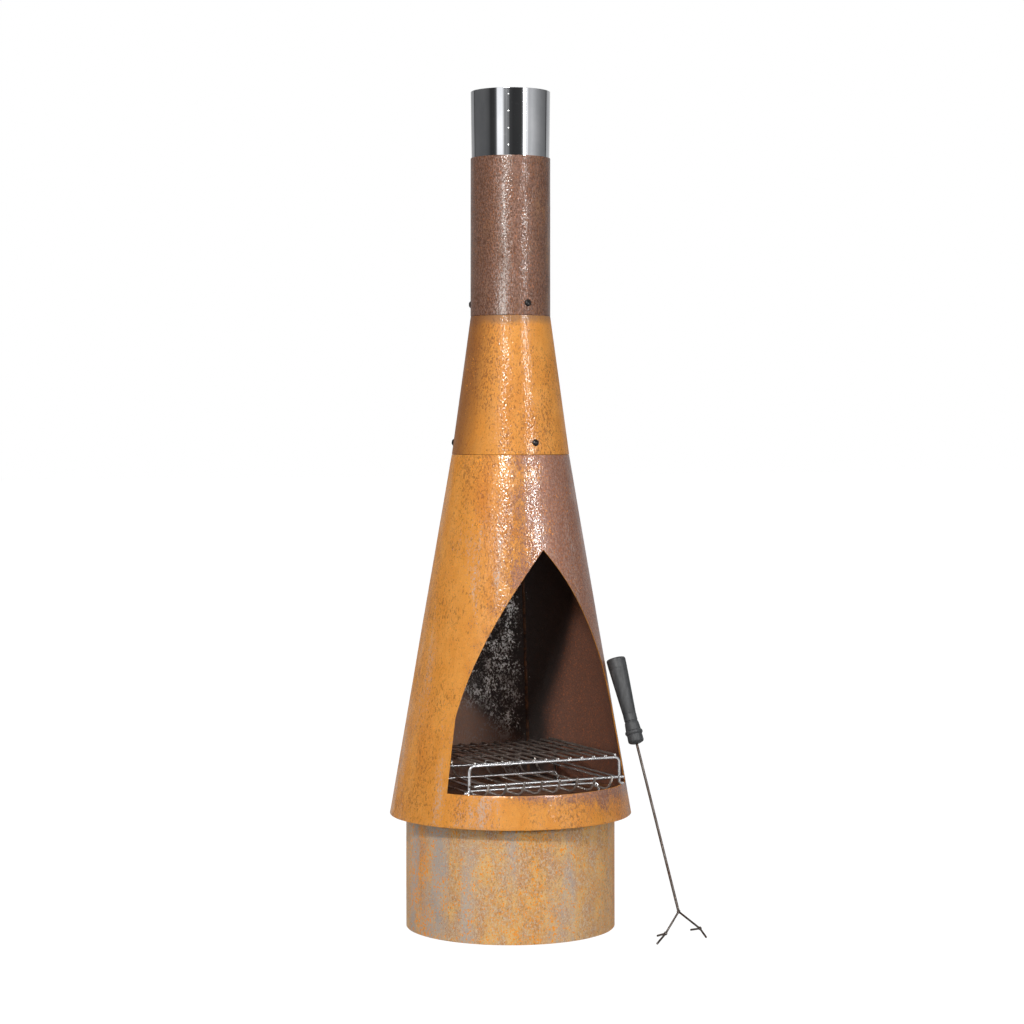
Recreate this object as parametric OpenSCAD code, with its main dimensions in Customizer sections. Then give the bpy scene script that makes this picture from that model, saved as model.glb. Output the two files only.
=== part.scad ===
// Chiminea: a tapering sheet-steel fire house on a plain drum, with a
// two-part chimney, a bright outlet ring, a cooking grid, a log grate
// and a fork-ended poker.
// Origin: centre of the drum's bottom rim, on the ground. +Z is up and
// the arched opening faces -Y.

/* [Drum] */
// Outer radius of the base drum
drum_r = 156.5; // [150:0.5:160]
// Height of the base drum, up to the underside of the fire floor
drum_h = 195; // [190:1:200]

/* [Fire house] */
// Height of the fire house's lower edge above the ground
skirt_z = 169; // [165:1:172]
// Outer radius at the lower edge
skirt_r = 181.3; // [180:0.1:184]
// Height of the seam between fire house and chimney cone
lower_seam_z = 706; // [700:1:720]
// Outer radius at that seam
lower_seam_r = 88.4; // [86:0.1:92]
// Sheet thickness of the fire house and the drum
shell_t = 2; // [1.5:0.1:2.5]

/* [Arched opening] */
// Height of the sill
sill_z = 217; // [215:1:218]
// Half width of the opening at the sill
arch_half_w = 146; // [140:1:150]
// Height of the pointed top
arch_top_z = 567; // [540:1:580]
// Height where the two side arcs are widest
arch_spring_z = 180; // [170:1:190]

/* [Chimney] */
// Height of the seam between chimney cone and flue pipe
upper_seam_z = 913; // [900:1:920]
// Outer radius of the flue pipe
pipe_r = 60; // [58:0.5:62]
// Height of the flue pipe's top edge
pipe_top_z = 1150; // [1120:1:1180]
// Sheet thickness of the chimney cone
cone_t = 1.5; // [1.2:0.1:2]
// Sheet thickness of the flue pipe
pipe_t = 1.3; // [1:0.1:1.5]
// Open line left at each butted seam
seam_gap = 0.6; // [0.4:0.1:1]

/* [Outlet ring] */
// Height of the ring's top edge, the top of the whole object
ring_top_z = 1250; // [1240:1:1260]
// Outer radius of the ring at its top edge
ring_top_r = 59.7; // [59.5:0.1:60]
// Outer radius of the ring where it leaves the pipe
ring_seat_r = 58.4; // [58.2:0.1:58.5]
// How far the ring plugs into the pipe
ring_plug = 28; // [20:1:35]
// Sheet thickness of the ring
ring_t = 0.7; // [0.6:0.1:1]

/* [Cooking grid] */
// Half width between the legs' centrelines
grid_half_w = 122; // [120:0.5:123]
// Where the front bar runs, forward of the axis
grid_front = 118; // [116:1:119]
// Where the rear bar runs, behind the axis
grid_back = 96; // [90:1:98]
// Height of the front and rear bars' centrelines
grid_bar_z = 258; // [256:1:260]
// Height of the lower rails' centrelines
grid_rail_z = 229; // [228:1:230]
// Radius of the frame wire
frame_wire_r = 2; // [1.8:0.1:2.2]
// Radius of the thin grid wires
grid_wire_r = 1.5; // [1.2:0.1:1.6]
// Number of grid wires
grid_wires_n = 11; // [9:2:11]
// Distance between grid wires
grid_pitch = 19.75; // [18:0.25:20]

/* [Log grate] */
// Number of cradle wires
log_wires_n = 8; // [6:2:8]
// Distance between cradle wires
log_pitch = 28.6; // [26:0.2:29]
// Height of the cradle wires' centrelines
log_z = 212; // [211:0.5:213]
// Radius of the cradle wires
log_wire_r = 1.8; // [1.4:0.1:2]
// Half length of the two cross bars
log_bar_half = 106; // [104:1:108]

/* [Poker] */
// Length of the grip with its collar
grip_len = 132; // [125:1:138]
// Largest radius of the grip
grip_r = 14.5; // [13:0.5:15]
// Radius of the rod
rod_r = 2; // [1.8:0.1:2.5]
// Radius of the fork's tines
tine_r = 1.5; // [1.3:0.1:1.8]

/* [Fasteners] */
// Radius of the screws' thread
screw_r = 3; // [2.5:0.5:3]
// Height of each chimney screw above its seam
screw_rise = 18; // [15:1:20]

/* [Hidden] */

// Round work is drawn as true circles.
$fn = 96;
WIRE_FN = 24;

floor_t = 2;
floor_top = drum_h + floor_t;
collar_t = 1.5;
collar_reach = 36;
fit = 0.3;
rest_gap = 0.2;

// Outer radii at a height, along each straight cone.
function lerp_r(z, z0, r0, z1, r1) = r0 + (r1 - r0) * (z - z0) / (z1 - z0);
function shell_r(z) = lerp_r(z, skirt_z, skirt_r, lower_seam_z, lower_seam_r);
function cone_r(z) = lerp_r(z, lower_seam_z, lower_seam_r, upper_seam_z, pipe_r);
function ring_r(z) = lerp_r(z, pipe_top_z, ring_seat_r, ring_top_z, ring_top_r);
cone_slope = atan((lower_seam_r - pipe_r) / (upper_seam_z - lower_seam_z));

// The arch: each side is an arc through the sill's end and the point.
arch_rise = arch_top_z - arch_spring_z;
sill_drop = sill_z - arch_spring_z;
arch_c = (arch_rise * arch_rise - sill_drop * sill_drop
          - arch_half_w * arch_half_w) / (2 * arch_half_w);
arch_r = norm([arch_c, arch_rise]);

// Seams: polar angle of each welded seam, away from the opening.
shell_seam_deg = 55;
chimney_seam_deg = 90;
ring_seam_deg = -118.5;
bead_share = 0.85;

// Fasteners
head_r = 5.2;
head_h = 3.2;
socket_r = 2.3;
socket_depth = 2;
nut_r = 5.7;
nut_h = 4.5;
thread_fit = 0.06;
chimney_screw_len = 11;
floor_bolt_len = 13;
tab_t = 3;
tab_reach = 26;
tab_w = 30;
tab_flange = 24;
tab_bolt_at = 141;

// Colours
RUST = [0.78, 0.50, 0.20];
RUST_DARK = [0.46, 0.31, 0.24];
BLACK = [0.10, 0.10, 0.11];
BRIGHT = [0.80, 0.81, 0.83];
WIRE = [0.62, 0.62, 0.62];
GRIP = [0.24, 0.25, 0.26];
STEEL = [0.30, 0.28, 0.27];

// A tapering tube between two heights, sheet thickness t.
module taper_tube(z0, r0, z1, r1, t) {
    rotate_extrude() polygon([[r0, z0], [r1, z1], [r1 - t, z1], [r0 - t, z0]]);
}

// A straight round bar between two points.
module bar(p, q, r) {
    v = q - p;
    translate(p)
        rotate([0, acos(v[2] / norm(v)), atan2(v[1], v[0])])
            cylinder(r = r, h = norm(v), $fn = WIRE_FN);
}

// A wire bent in the XY plane: straight runs through the points, with a
// round bend at each inner point, its radius taken from the list bends.
function unit(v) = v / norm(v);
function turn(p, i) =
    let (a = unit(p[i] - p[i - 1]), b = unit(p[i + 1] - p[i]))
        atan2(a[0] * b[1] - a[1] * b[0], a * b);
function trim(p, bends, i) =
    i == 0 || i == len(p) - 1 ? 0 : bends[i - 1] * tan(abs(turn(p, i)) / 2);

// A round wire's arc about a point, from one angle on through another.
module bend(middle, bend_r, first, angle, r) {
    translate([middle[0], middle[1], 0]) rotate([0, 0, min(first, first + angle)])
        rotate_extrude(angle = abs(angle))
            translate([bend_r, 0]) circle(r = r, $fn = WIRE_FN);
}

module flat_wire(points, bends, r) {
    for (i = [0 : len(points) - 2]) {
        way = unit(points[i + 1] - points[i]);
        start = points[i] + way * trim(points, bends, i);
        end = points[i + 1] - way * trim(points, bends, i + 1);
        bar([start[0], start[1], 0], [end[0], end[1], 0], r);
    }
    for (i = [1 : len(points) - 2]) {
        way = unit(points[i] - points[i - 1]);
        angle = turn(points, i);
        side = angle > 0 ? 1 : -1;
        start = points[i] - way * trim(points, bends, i);
        middle = start + side * bends[i - 1] * [-way[1], way[0]];
        first = atan2(start[1] - middle[1], start[0] - middle[0]);
        bend(middle, bends[i - 1], first, angle, r);
    }
}

// Stands a flat wire up across the object, at a given Y ...
module across(y) { translate([0, y, 0]) rotate([90, 0, 0]) children(); }

// ... or from front to back, at a given X.
module lengthways(x) { translate([x, 0, 0]) rotate([90, 0, 90]) children(); }

// ---- Drum and floor ----

module base_drum() {
    color(RUST) difference() {
        cylinder(r = drum_r, h = drum_h);
        translate([0, 0, -1]) cylinder(r = drum_r - shell_t, h = drum_h + 2);
    }
}

// A weld bead up a straight line of a sheet's inner face, half sunk in it.
module inner_bead(z0, r0, z1, r1, deg, r) {
    rotate([0, 0, deg]) bar([r0, 0, z0], [r1, 0, z1], r);
}

module drum_seam_weld() {
    inner = drum_r - shell_t;
    color(RUST_DARK)
        inner_bead(2, inner, drum_h - 6, inner, shell_seam_deg, bead_share * shell_t);
}

// Four lugs welded inside the drum's top edge carry the floor's bolts.
module drum_tab() {
    difference() {
        intersection() {
            union() {
                translate([drum_r - tab_reach, -tab_w / 2, drum_h - tab_t])
                    cube([tab_reach, tab_w, tab_t]);
                translate([drum_r - shell_t - 4, -tab_w / 2, drum_h - tab_flange])
                    cube([8, tab_w, tab_flange]);
            }
            cylinder(r = drum_r - shell_t, h = drum_h + 1);
        }
        translate([tab_bolt_at, 0, drum_h - tab_t - 1])
            cylinder(r = screw_r + fit, h = tab_t + 2, $fn = WIRE_FN);
    }
}

module drum_tabs() {
    color(STEEL) for (i = [0 : 3]) rotate([0, 0, 90 * i + 20]) drum_tab();
}

module fire_floor() {
    color(RUST_DARK) difference() {
        translate([0, 0, drum_h])
            cylinder(r = shell_r(floor_top) - shell_t - 0.1, h = floor_t);
        for (i = [0 : 3]) rotate([0, 0, 90 * i + 20])
            translate([tab_bolt_at, 0, drum_h - 1])
                cylinder(r = screw_r + fit, h = floor_t + 2, $fn = WIRE_FN);
    }
}

// ---- Fasteners ----

// A button-head socket screw: the head rests on Z = 0, the shank is below.
module button_screw(len) {
    dome_r = (head_r * head_r + head_h * head_h) / (2 * head_h);
    difference() {
        intersection() {
            translate([0, 0, head_h - dome_r]) sphere(r = dome_r, $fn = 48);
            cylinder(r = head_r + 1, h = head_h + 1, $fn = 48);
        }
        translate([0, 0, head_h - socket_depth])
            cylinder(r = socket_r, h = socket_depth + 1, $fn = 6);
    }
    translate([0, 0, -len]) cylinder(r = screw_r, h = len, $fn = WIRE_FN);
}

module hex_nut() {
    difference() {
        cylinder(r = nut_r, h = nut_h, $fn = 6);
        translate([0, 0, -1])
            cylinder(r = screw_r + thread_fit, h = nut_h + 2, $fn = WIRE_FN);
    }
}

module floor_bolts() {
    color(BLACK) for (i = [0 : 3]) rotate([0, 0, 90 * i + 20])
        translate([tab_bolt_at, 0, floor_top]) button_screw(floor_bolt_len);
}

module floor_nuts() {
    color(BLACK) for (i = [0 : 3]) rotate([0, 0, 90 * i + 20])
        translate([tab_bolt_at, 0, drum_h - tab_t - nut_h]) hex_nut();
}

// Three places round the chimney, on a wall of the given lean;
// the child's +Z points out of the wall.
module round_joint(z, r, lean) {
    for (i = [0 : 2]) rotate([0, 0, 120 * i])
        translate([0, -r, z]) rotate([90 - lean, 0, 0]) children();
}

module screw_hole() {
    translate([0, 0, -8]) cylinder(r = screw_r + fit, h = 12, $fn = WIRE_FN);
}

// ---- Fire house ----

module arch_cut() {
    rotate([90, 0, 0]) linear_extrude(height = skirt_r + 20) intersection() {
        translate([-arch_c, arch_spring_z]) circle(r = arch_r);
        translate([arch_c, arch_spring_z]) circle(r = arch_r);
        translate([-arch_half_w - 20, sill_z])
            square([2 * arch_half_w + 40, arch_top_z]);
    }
}

module firebox_shell() {
    top = lower_seam_z - seam_gap / 2;
    color(RUST) difference() {
        taper_tube(skirt_z, skirt_r, top, shell_r(top), shell_t);
        arch_cut();
    }
}

module firebox_seam_weld() {
    z0 = floor_top + 2;
    z1 = lower_seam_z - collar_reach;
    color(RUST_DARK)
        inner_bead(z0, shell_r(z0) - shell_t, z1, shell_r(z1) - shell_t,
                   shell_seam_deg, bead_share * shell_t);
}

// The sleeve behind the lower seam follows both cones' inner faces.
module lower_collar() {
    z0 = lower_seam_z - collar_reach / 2;
    z1 = lower_seam_z + collar_reach;
    r0 = shell_r(z0) - shell_t;
    rm = lower_seam_r - shell_t;
    r1 = cone_r(z1) - shell_t;
    color(RUST_DARK) difference() {
        rotate_extrude() polygon([
            [r0, z0], [rm, lower_seam_z], [r1, z1],
            [r1 - collar_t, z1], [rm - collar_t, lower_seam_z], [r0 - collar_t, z0]]);
        lower_joint() screw_hole();
    }
}

module lower_joint() {
    z = lower_seam_z + screw_rise;
    round_joint(z, cone_r(z), cone_slope) children();
}

module lower_joint_screws() {
    color(BLACK) lower_joint() button_screw(chimney_screw_len);
}

module lower_joint_nuts() {
    depth = shell_t + collar_t + nut_h + 0.1;
    color(BLACK) lower_joint() translate([0, 0, -depth]) hex_nut();
}

// ---- Chimney ----

module chimney_cone() {
    z0 = lower_seam_z + seam_gap / 2;
    z1 = upper_seam_z - seam_gap / 2;
    color(RUST) difference() {
        taper_tube(z0, cone_r(z0), z1, cone_r(z1), cone_t);
        lower_joint() screw_hole();
    }
}

module cone_seam_weld() {
    z0 = lower_seam_z + collar_reach + 4;
    z1 = upper_seam_z - collar_reach / 2 - 4;
    color(RUST_DARK)
        inner_bead(z0, cone_r(z0) - cone_t, z1, cone_r(z1) - cone_t,
                   chimney_seam_deg, bead_share * cone_t);
}

// The sleeve behind the upper seam is a straight tube inside the pipe.
module upper_collar() {
    z0 = upper_seam_z - collar_reach / 2;
    outer = pipe_r - cone_t;
    color(RUST_DARK) difference() {
        translate([0, 0, z0]) cylinder(r = outer - 0.1, h = 1.5 * collar_reach);
        translate([0, 0, z0 - 1])
            cylinder(r = outer - collar_t, h = 1.5 * collar_reach + 2);
        upper_joint() screw_hole();
    }
}

module upper_joint() {
    round_joint(upper_seam_z + screw_rise, pipe_r, 0) children();
}

module upper_joint_screws() {
    color(BLACK) upper_joint() button_screw(chimney_screw_len);
}

module upper_joint_nuts() {
    depth = cone_t + collar_t + nut_h + 0.2;
    color(BLACK) upper_joint() translate([0, 0, -depth]) hex_nut();
}

module flue_pipe() {
    z0 = upper_seam_z + seam_gap / 2;
    color(RUST_DARK) difference() {
        taper_tube(z0, pipe_r, pipe_top_z, pipe_r, pipe_t);
        upper_joint() screw_hole();
    }
}

module pipe_seam_weld() {
    z0 = upper_seam_z + collar_reach + 4;
    z1 = pipe_top_z - ring_plug - 4;
    inner = pipe_r - pipe_t;
    color(RUST_DARK)
        inner_bead(z0, inner, z1, inner, chimney_seam_deg, bead_share * pipe_t);
}

// ---- Outlet ring ----

module outlet_ring() {
    z0 = pipe_top_z - ring_plug;
    color(BRIGHT) taper_tube(z0, ring_r(z0), ring_top_z, ring_top_r, ring_t);
}

// The ring's sheet ends in a lap: a second thickness over a short arc.
module ring_lap_strip() {
    z0 = pipe_top_z + 1;
    lap_deg = 9;
    color(BRIGHT) rotate([0, 0, ring_seam_deg - lap_deg / 2])
        rotate_extrude(angle = lap_deg) polygon([
            [ring_r(z0) - ring_t, z0], [ring_top_r - ring_t, ring_top_z],
            [ring_top_r - 2 * ring_t, ring_top_z], [ring_r(z0) - 2 * ring_t, z0]]);
}

// Four spot welds hold the lap together.
module ring_spot_welds() {
    spots = 4;
    bite = 0.01;
    color(BRIGHT) for (i = [0 : spots - 1]) {
        z = pipe_top_z + (ring_top_z - pipe_top_z) * (i + 0.6) / spots;
        rotate([0, 0, ring_seam_deg]) translate([ring_r(z) - bite, 0, z])
            rotate([0, 90, 0]) cylinder(r1 = 1.9, r2 = 1.2, h = 0.4, $fn = WIRE_FN);
    }
}

// ---- Cooking grid ----

grid_shoulder = 8;

// The front staple's legs turn out into small feet that rest on the sill.
module grid_front_frame() {
    foot_z = sill_z + frame_wire_r + rest_gap;
    toe_x = grid_half_w + 7.5;
    ankle = 4;
    color(BRIGHT) across(-grid_front) flat_wire([
        [-toe_x, foot_z], [-grid_half_w, foot_z], [-grid_half_w, grid_bar_z],
        [grid_half_w, grid_bar_z], [grid_half_w, foot_z], [toe_x, foot_z]],
        [ankle, grid_shoulder, grid_shoulder, ankle], frame_wire_r);
}

// The rear staple stands on the fire floor.
module grid_rear_frame() {
    foot_z = floor_top + rest_gap;
    color(WIRE) across(grid_back) flat_wire([
        [-grid_half_w, foot_z], [-grid_half_w, grid_bar_z],
        [grid_half_w, grid_bar_z], [grid_half_w, foot_z]],
        [grid_shoulder, grid_shoulder], frame_wire_r);
}

// The top side rails lie inside the shoulders of both staples.
rail_x = grid_half_w - 8;
module grid_side_rails() {
    z = grid_bar_z + frame_wire_r + frame_wire_r;
    color(WIRE) for (s = [-1, 1])
        bar([s * rail_x, -grid_front - 3, z], [s * rail_x, grid_back + 3, z], frame_wire_r);
}

// Two bars under the wires, between the side rails.
cross_bar_ys = [-25, 42];
module grid_cross_bars() {
    color(WIRE) for (y = cross_bar_ys)
        bar([-rail_x - 4, y, grid_bar_z], [rail_x + 4, y, grid_bar_z], frame_wire_r);
}

// Straight wires over the bars, turned down behind the rear bar.
module grid_wires() {
    z = grid_bar_z + frame_wire_r + grid_wire_r;
    rear = grid_back + frame_wire_r + grid_wire_r + 0.2;
    color(WIRE) for (i = [0 : grid_wires_n - 1])
        lengthways((i - (grid_wires_n - 1) / 2) * grid_pitch)
            flat_wire([[-grid_front - 4, z], [rear, z], [rear, z - 9]],
                      [3], grid_wire_r);
}

// A lower ring of rails ties the legs and keeps embers in.
module grid_lower_rails() {
    z = grid_rail_z;
    front = grid_front + 2 * frame_wire_r;
    back = grid_back - 2 * frame_wire_r;
    inner_x = 5 * grid_pitch;
    side_end = grid_half_w + frame_wire_r + grid_wire_r;
    color(WIRE) {
        bar([-grid_half_w + 5, -front, z], [side_end + 2, -front, z], frame_wire_r);
        bar([-side_end, back, z], [side_end, back, z], frame_wire_r);
        for (s = [-1, 1]) {
            x = s * (grid_half_w - frame_wire_r - grid_wire_r);
            bar([x, -front, z], [x, back, z], grid_wire_r);
            bar([s * inner_x, -front, z], [s * inner_x, back, z], grid_wire_r);
        }
    }
}

// ---- Log grate ----

log_bar_ys = [-79, 58];

// Two bars lie on the cradle wires; their ends turn down into feet that
// lean forward.
module log_grate_bars() {
    z = log_z + log_wire_r + frame_wire_r;
    lean = 25;
    drop = (z - floor_top - rest_gap - frame_wire_r * sin(lean)) / cos(lean);
    color(WIRE) for (y = log_bar_ys)
        translate([0, y, z]) rotate([-lean, 0, 0]) across(0) flat_wire([
            [-log_bar_half, -drop], [-log_bar_half, 0],
            [log_bar_half, 0], [log_bar_half, -drop]],
            [5, 5], frame_wire_r);
}

// Cradle wires run front to back and curve up at both ends.
module log_grate_wires() {
    bend_r = 26;
    lift_deg = 80;
    front = 112;
    rear = 96;
    color(WIRE) for (i = [0 : log_wires_n - 1])
        lengthways((i - (log_wires_n - 1) / 2) * log_pitch) {
            bar([-front, log_z, 0], [rear, log_z, 0], log_wire_r);
            bend([rear, log_z + bend_r], bend_r, -90, lift_deg, log_wire_r);
            mirror([1, 0, 0])
                bend([front, log_z + bend_r], bend_r, -90, lift_deg, log_wire_r);
        }
}

// ---- Poker ----

// It stands on four prongs and leans back beside the opening, close to the fire house.
poker_top = [142.5, -68, 399];
poker_joint = [178.5, -196, 40];
poker_dir = (poker_top - poker_joint) / norm(poker_top - poker_joint);

// Stands a child that was drawn along +Z on the poker's line,
// a distance up from the fork's joint.
module on_poker(up) {
    translate(poker_joint + poker_dir * up)
        rotate([0, acos(poker_dir[2]), atan2(poker_dir[1], poker_dir[0])]) children();
}

poker_len = norm(poker_top - poker_joint);
collar_len = 14;

module poker_rod() {
    color(STEEL) on_poker(0)
        cylinder(r = rod_r, h = poker_len - 40, $fn = WIRE_FN);
}

module poker_grip() {
    len = grip_len - collar_len;
    neck_r = 0.69 * grip_r;
    color(GRIP) on_poker(poker_len - len) difference() {
        rotate_extrude() union() {
            polygon([
                [0, 0], [12, 0], [13, 1.6], [13.4, 3.4], [12.8, 5.4], [11.6, 6.6],
                [11.4, 9], [10.6, 17], [10, 19], [9.6, 20], [neck_r, 21.5], [neck_r, 31],
                [neck_r - 0.5, 32], [neck_r, 33], [grip_r - 0.6, len - 18],
                [grip_r - 1.1, len - 17.2], [grip_r - 0.5, len - 16.4],
                [grip_r, len - 3], [grip_r - 0.9, len - 0.9], [grip_r - 3, len], [0, len]]);
        }
        translate([0, 0, -1])
            cylinder(r = rod_r, h = len - 39, $fn = WIRE_FN);
    }
}

module poker_collar() {
    color(GRIP) on_poker(poker_len - grip_len) difference() {
        rotate_extrude() polygon([
            [0, 0], [6, 0], [10.8, 2.2], [11.8, 4.4], [11.5, collar_len], [0, collar_len]]);
        translate([0, 0, -1])
            cylinder(r = rod_r, h = collar_len + 2, $fn = WIRE_FN);
    }
}

// Two tines spread from the rod; each carries two short prongs. A round
// weld joins them at each end of a tine.
tine_knees = [[152, -206, 10], [215, -196, 10]];
prong_tips = [[[125, -229], [153, -179]], [[212, -220], [219, -162]]];
fork_top = poker_joint - poker_dir * 2.2;
weld_inset = 2;

module poker_tines() {
    color(STEEL) for (knee = tine_knees) {
        way = unit(knee - fork_top);
        bar(fork_top + way * weld_inset, knee - way * weld_inset, tine_r);
    }
}

module poker_prongs() {
    color(STEEL) for (i = [0, 1]) for (tip = prong_tips[i]) {
        knee = tine_knees[i];
        end = [tip[0], tip[1], tine_r];
        bar(knee + weld_inset * unit(end - knee), end, tine_r);
    }
}

module poker_welds() {
    ball_r = tine_r + 1.3;
    color(STEEL) for (at = concat([fork_top], tine_knees))
        translate(at) sphere(r = ball_r, $fn = WIRE_FN);
}

base_drum();
drum_seam_weld();
drum_tabs();
fire_floor();
floor_bolts();
floor_nuts();
firebox_shell();
firebox_seam_weld();
lower_collar();
lower_joint_screws();
lower_joint_nuts();
chimney_cone();
cone_seam_weld();
upper_collar();
upper_joint_screws();
upper_joint_nuts();
flue_pipe();
pipe_seam_weld();
outlet_ring();
ring_lap_strip();
ring_spot_welds();
grid_front_frame();
grid_rear_frame();
grid_side_rails();
grid_cross_bars();
grid_wires();
grid_lower_rails();
log_grate_bars();
log_grate_wires();
poker_grip();
poker_collar();
poker_rod();
poker_tines();
poker_prongs();
poker_welds();
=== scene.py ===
"""A rusted steel chiminea with a bright outlet ring, a cooking grid, a log grate and a poker.

Lengths are in metres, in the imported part's frame: Z up, the arched opening faces -Y.
Angles round the body are in degrees from -Y towards +X.
"""

import math

import bmesh
import bpy
from mathutils import Matrix, Vector, noise


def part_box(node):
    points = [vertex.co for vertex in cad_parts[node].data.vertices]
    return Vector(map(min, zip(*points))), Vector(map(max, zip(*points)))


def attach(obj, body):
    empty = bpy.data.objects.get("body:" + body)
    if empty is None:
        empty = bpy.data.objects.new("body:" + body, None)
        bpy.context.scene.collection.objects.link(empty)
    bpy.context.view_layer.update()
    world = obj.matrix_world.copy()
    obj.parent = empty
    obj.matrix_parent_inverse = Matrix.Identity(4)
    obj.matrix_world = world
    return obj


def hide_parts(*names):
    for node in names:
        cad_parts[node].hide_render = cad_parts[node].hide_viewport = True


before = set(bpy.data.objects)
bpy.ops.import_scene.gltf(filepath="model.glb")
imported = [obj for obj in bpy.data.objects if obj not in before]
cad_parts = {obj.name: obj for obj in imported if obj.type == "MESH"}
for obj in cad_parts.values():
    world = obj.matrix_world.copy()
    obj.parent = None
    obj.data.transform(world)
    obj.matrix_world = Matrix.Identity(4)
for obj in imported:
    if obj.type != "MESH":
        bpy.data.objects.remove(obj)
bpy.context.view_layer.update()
MM = 0.001

# ---- sizes, from the frame

_, (DRUM_R, _, DRUM_H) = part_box("base_drum")
(_, _, FLOOR_Z), (FLOOR_R, _, FLOOR_TOP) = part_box("fire_floor")
(_, _, SKIRT_Z), (SKIRT_R, _, SHELL_TOP_Z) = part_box("firebox_shell")
(_, _, CONE_Z), (CONE_R, _, CONE_TOP_Z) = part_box("chimney_cone")
(_, _, PIPE_Z), (PIPE_R, _, PIPE_TOP_Z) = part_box("flue_pipe")
(_, _, RING_Z), (RING_R, _, RING_TOP_Z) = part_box("outlet_ring")

SHELL_T = 2 * MM
CONE_T = 1.5 * MM
COLLAR_T = 1.5 * MM
PIPE_T = 1.3 * MM
RING_T = 0.7 * MM
RING_SEAT_R = 58.4 * MM
SILL_Z = 217 * MM
ARCH_HALF_W = 146 * MM
ARCH_TOP_Z = 567 * MM
ARCH_SPRING_Z = 180 * MM
BOLT_REACH = 141 * MM

SHELL_SEAM = 145
CHIMNEY_SEAM = 180
RING_SEAM = -28.5


def along(t, start, end):
    return start + (end - start) * t


def shell_r(z):
    return along((z - SKIRT_Z) / (SHELL_TOP_Z - SKIRT_Z), SKIRT_R, CONE_R)


def cone_r(z):
    return along((z - CONE_Z) / (CONE_TOP_Z - CONE_Z), CONE_R, PIPE_R)


def ring_r(z):
    return along((z - PIPE_TOP_Z) / (RING_TOP_Z - PIPE_TOP_Z), RING_SEAT_R, RING_R)


def arch_half_width(z):
    """Half width of the opening at a height: each side is one arc from the sill to the point."""
    rise = ARCH_TOP_Z - ARCH_SPRING_Z
    drop = SILL_Z - ARCH_SPRING_Z
    centre = (rise ** 2 - drop ** 2 - ARCH_HALF_W ** 2) / (2 * ARCH_HALF_W)
    radius = math.hypot(centre, rise)
    return math.sqrt(max(radius ** 2 - (z - ARCH_SPRING_Z) ** 2, 0)) - centre


def at(degrees, r, z):
    """A point round the body's axis."""
    angle = math.radians(degrees)
    return Vector((r * math.sin(angle), -r * math.cos(angle), z))


# ---- mesh helpers

def link(name, data):
    """A new object in the scene."""
    obj = bpy.data.objects.new(name, data)
    bpy.context.scene.collection.objects.link(obj)
    return obj


class Shape:
    """Vertices and faces gathered for one piece; each face has a material number."""

    def __init__(self):
        self.verts = []
        self.faces = []
        self.mats = []

    def add(self, verts, faces, mat=0):
        first = len(self.verts)
        self.verts += [tuple(v) for v in verts]
        self.faces += [[first + i for i in face] for face in faces]
        self.mats += [mat] * len(faces)

    def grid(self, rows, mat=0, closed=True):
        """Quads between rows of points; closed joins each row's end to its start."""
        across = len(rows[0])
        faces = []
        for a in range(0, (len(rows) - 1) * across, across):
            b = a + across
            for j in range(across if closed else across - 1):
                k = (j + 1) % across
                faces.append([a + j, a + k, b + k, b + j])
        self.add([p for row in rows for p in row], faces, mat)

    def caps(self, rows, mat=0):
        """Faces across the first and the last row."""
        turn = list(range(len(rows[0])))
        self.add(rows[0], [turn[::-1]], mat)
        self.add(rows[-1], [turn], mat)

    def piece(self, name, body, materials, nodes=(), sharp=35):
        """The welded, smooth-shaded object on its body and the nodes it replaces."""
        mesh = bpy.data.meshes.new(name)
        mesh.from_pydata(self.verts, [], self.faces)
        for material in materials:
            mesh.materials.append(material)
        mesh.polygons.foreach_set("material_index", self.mats)
        made = bmesh.new()
        made.from_mesh(mesh)
        bmesh.ops.remove_doubles(made, verts=made.verts, dist=1e-6)
        bmesh.ops.recalc_face_normals(made, faces=made.faces)
        made.to_mesh(mesh)
        made.free()
        mesh.shade_smooth()
        mesh.set_sharp_from_angle(angle=math.radians(sharp))
        obj = link(name, mesh)
        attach(obj, body)
        if nodes:
            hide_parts(*nodes)
        return obj


def corner(before, here, after, radius, limit=math.inf):
    """The middle of a corner's arc, the spokes to its two ends, and its true radius."""
    before, after = before - here, after - here
    half = before.angle(after) / 2
    trim = min(radius / math.tan(half), limit * before.length, limit * after.length)
    radius = trim * math.tan(half)
    before.normalize()
    after.normalize()
    middle = here + (before + after).normalized() * radius / math.sin(half)
    return middle, here + before * trim - middle, here + after * trim - middle, radius


def rounded(points, radius, steps=3):
    """A closed outline in a plane, with its corners rounded."""
    points = [Vector(p) for p in points]
    out = []
    for i, here in enumerate(points):
        after = points[(i + 1) % len(points)]
        middle, start, end, true_r = corner(points[i - 1], here, after, radius, 0.45)
        for k in range(steps + 1):
            spoke = start.lerp(end, k / steps)
            out.append(tuple(middle + spoke.normalized() * true_r))
    return out


def dense(points, longest):
    """The same closed outline with its long stretches cut up."""
    out = []
    for i, here in enumerate(points):
        here = Vector(here)
        step = Vector(points[(i + 1) % len(points)]) - here
        parts = max(1, math.ceil(step.length / longest))
        stops = [k / parts for k in range(parts)]
        if step.length > 4 * MM:
            near = 0.5 * MM / step.length
            stops = [0, near] + stops[1:] + [1 - near]
        out += [tuple(here + step * k) for k in stops]
    return out


def ripple(degrees, z, size, lift, seed=0.0):
    """Slow unevenness of rolled sheet, in metres along the radius."""
    angle = math.radians(degrees)
    spot = Vector((math.cos(angle) * size + seed, math.sin(angle) * size, z * size * 1.6))
    return lift * noise.noise(spot)


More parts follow.
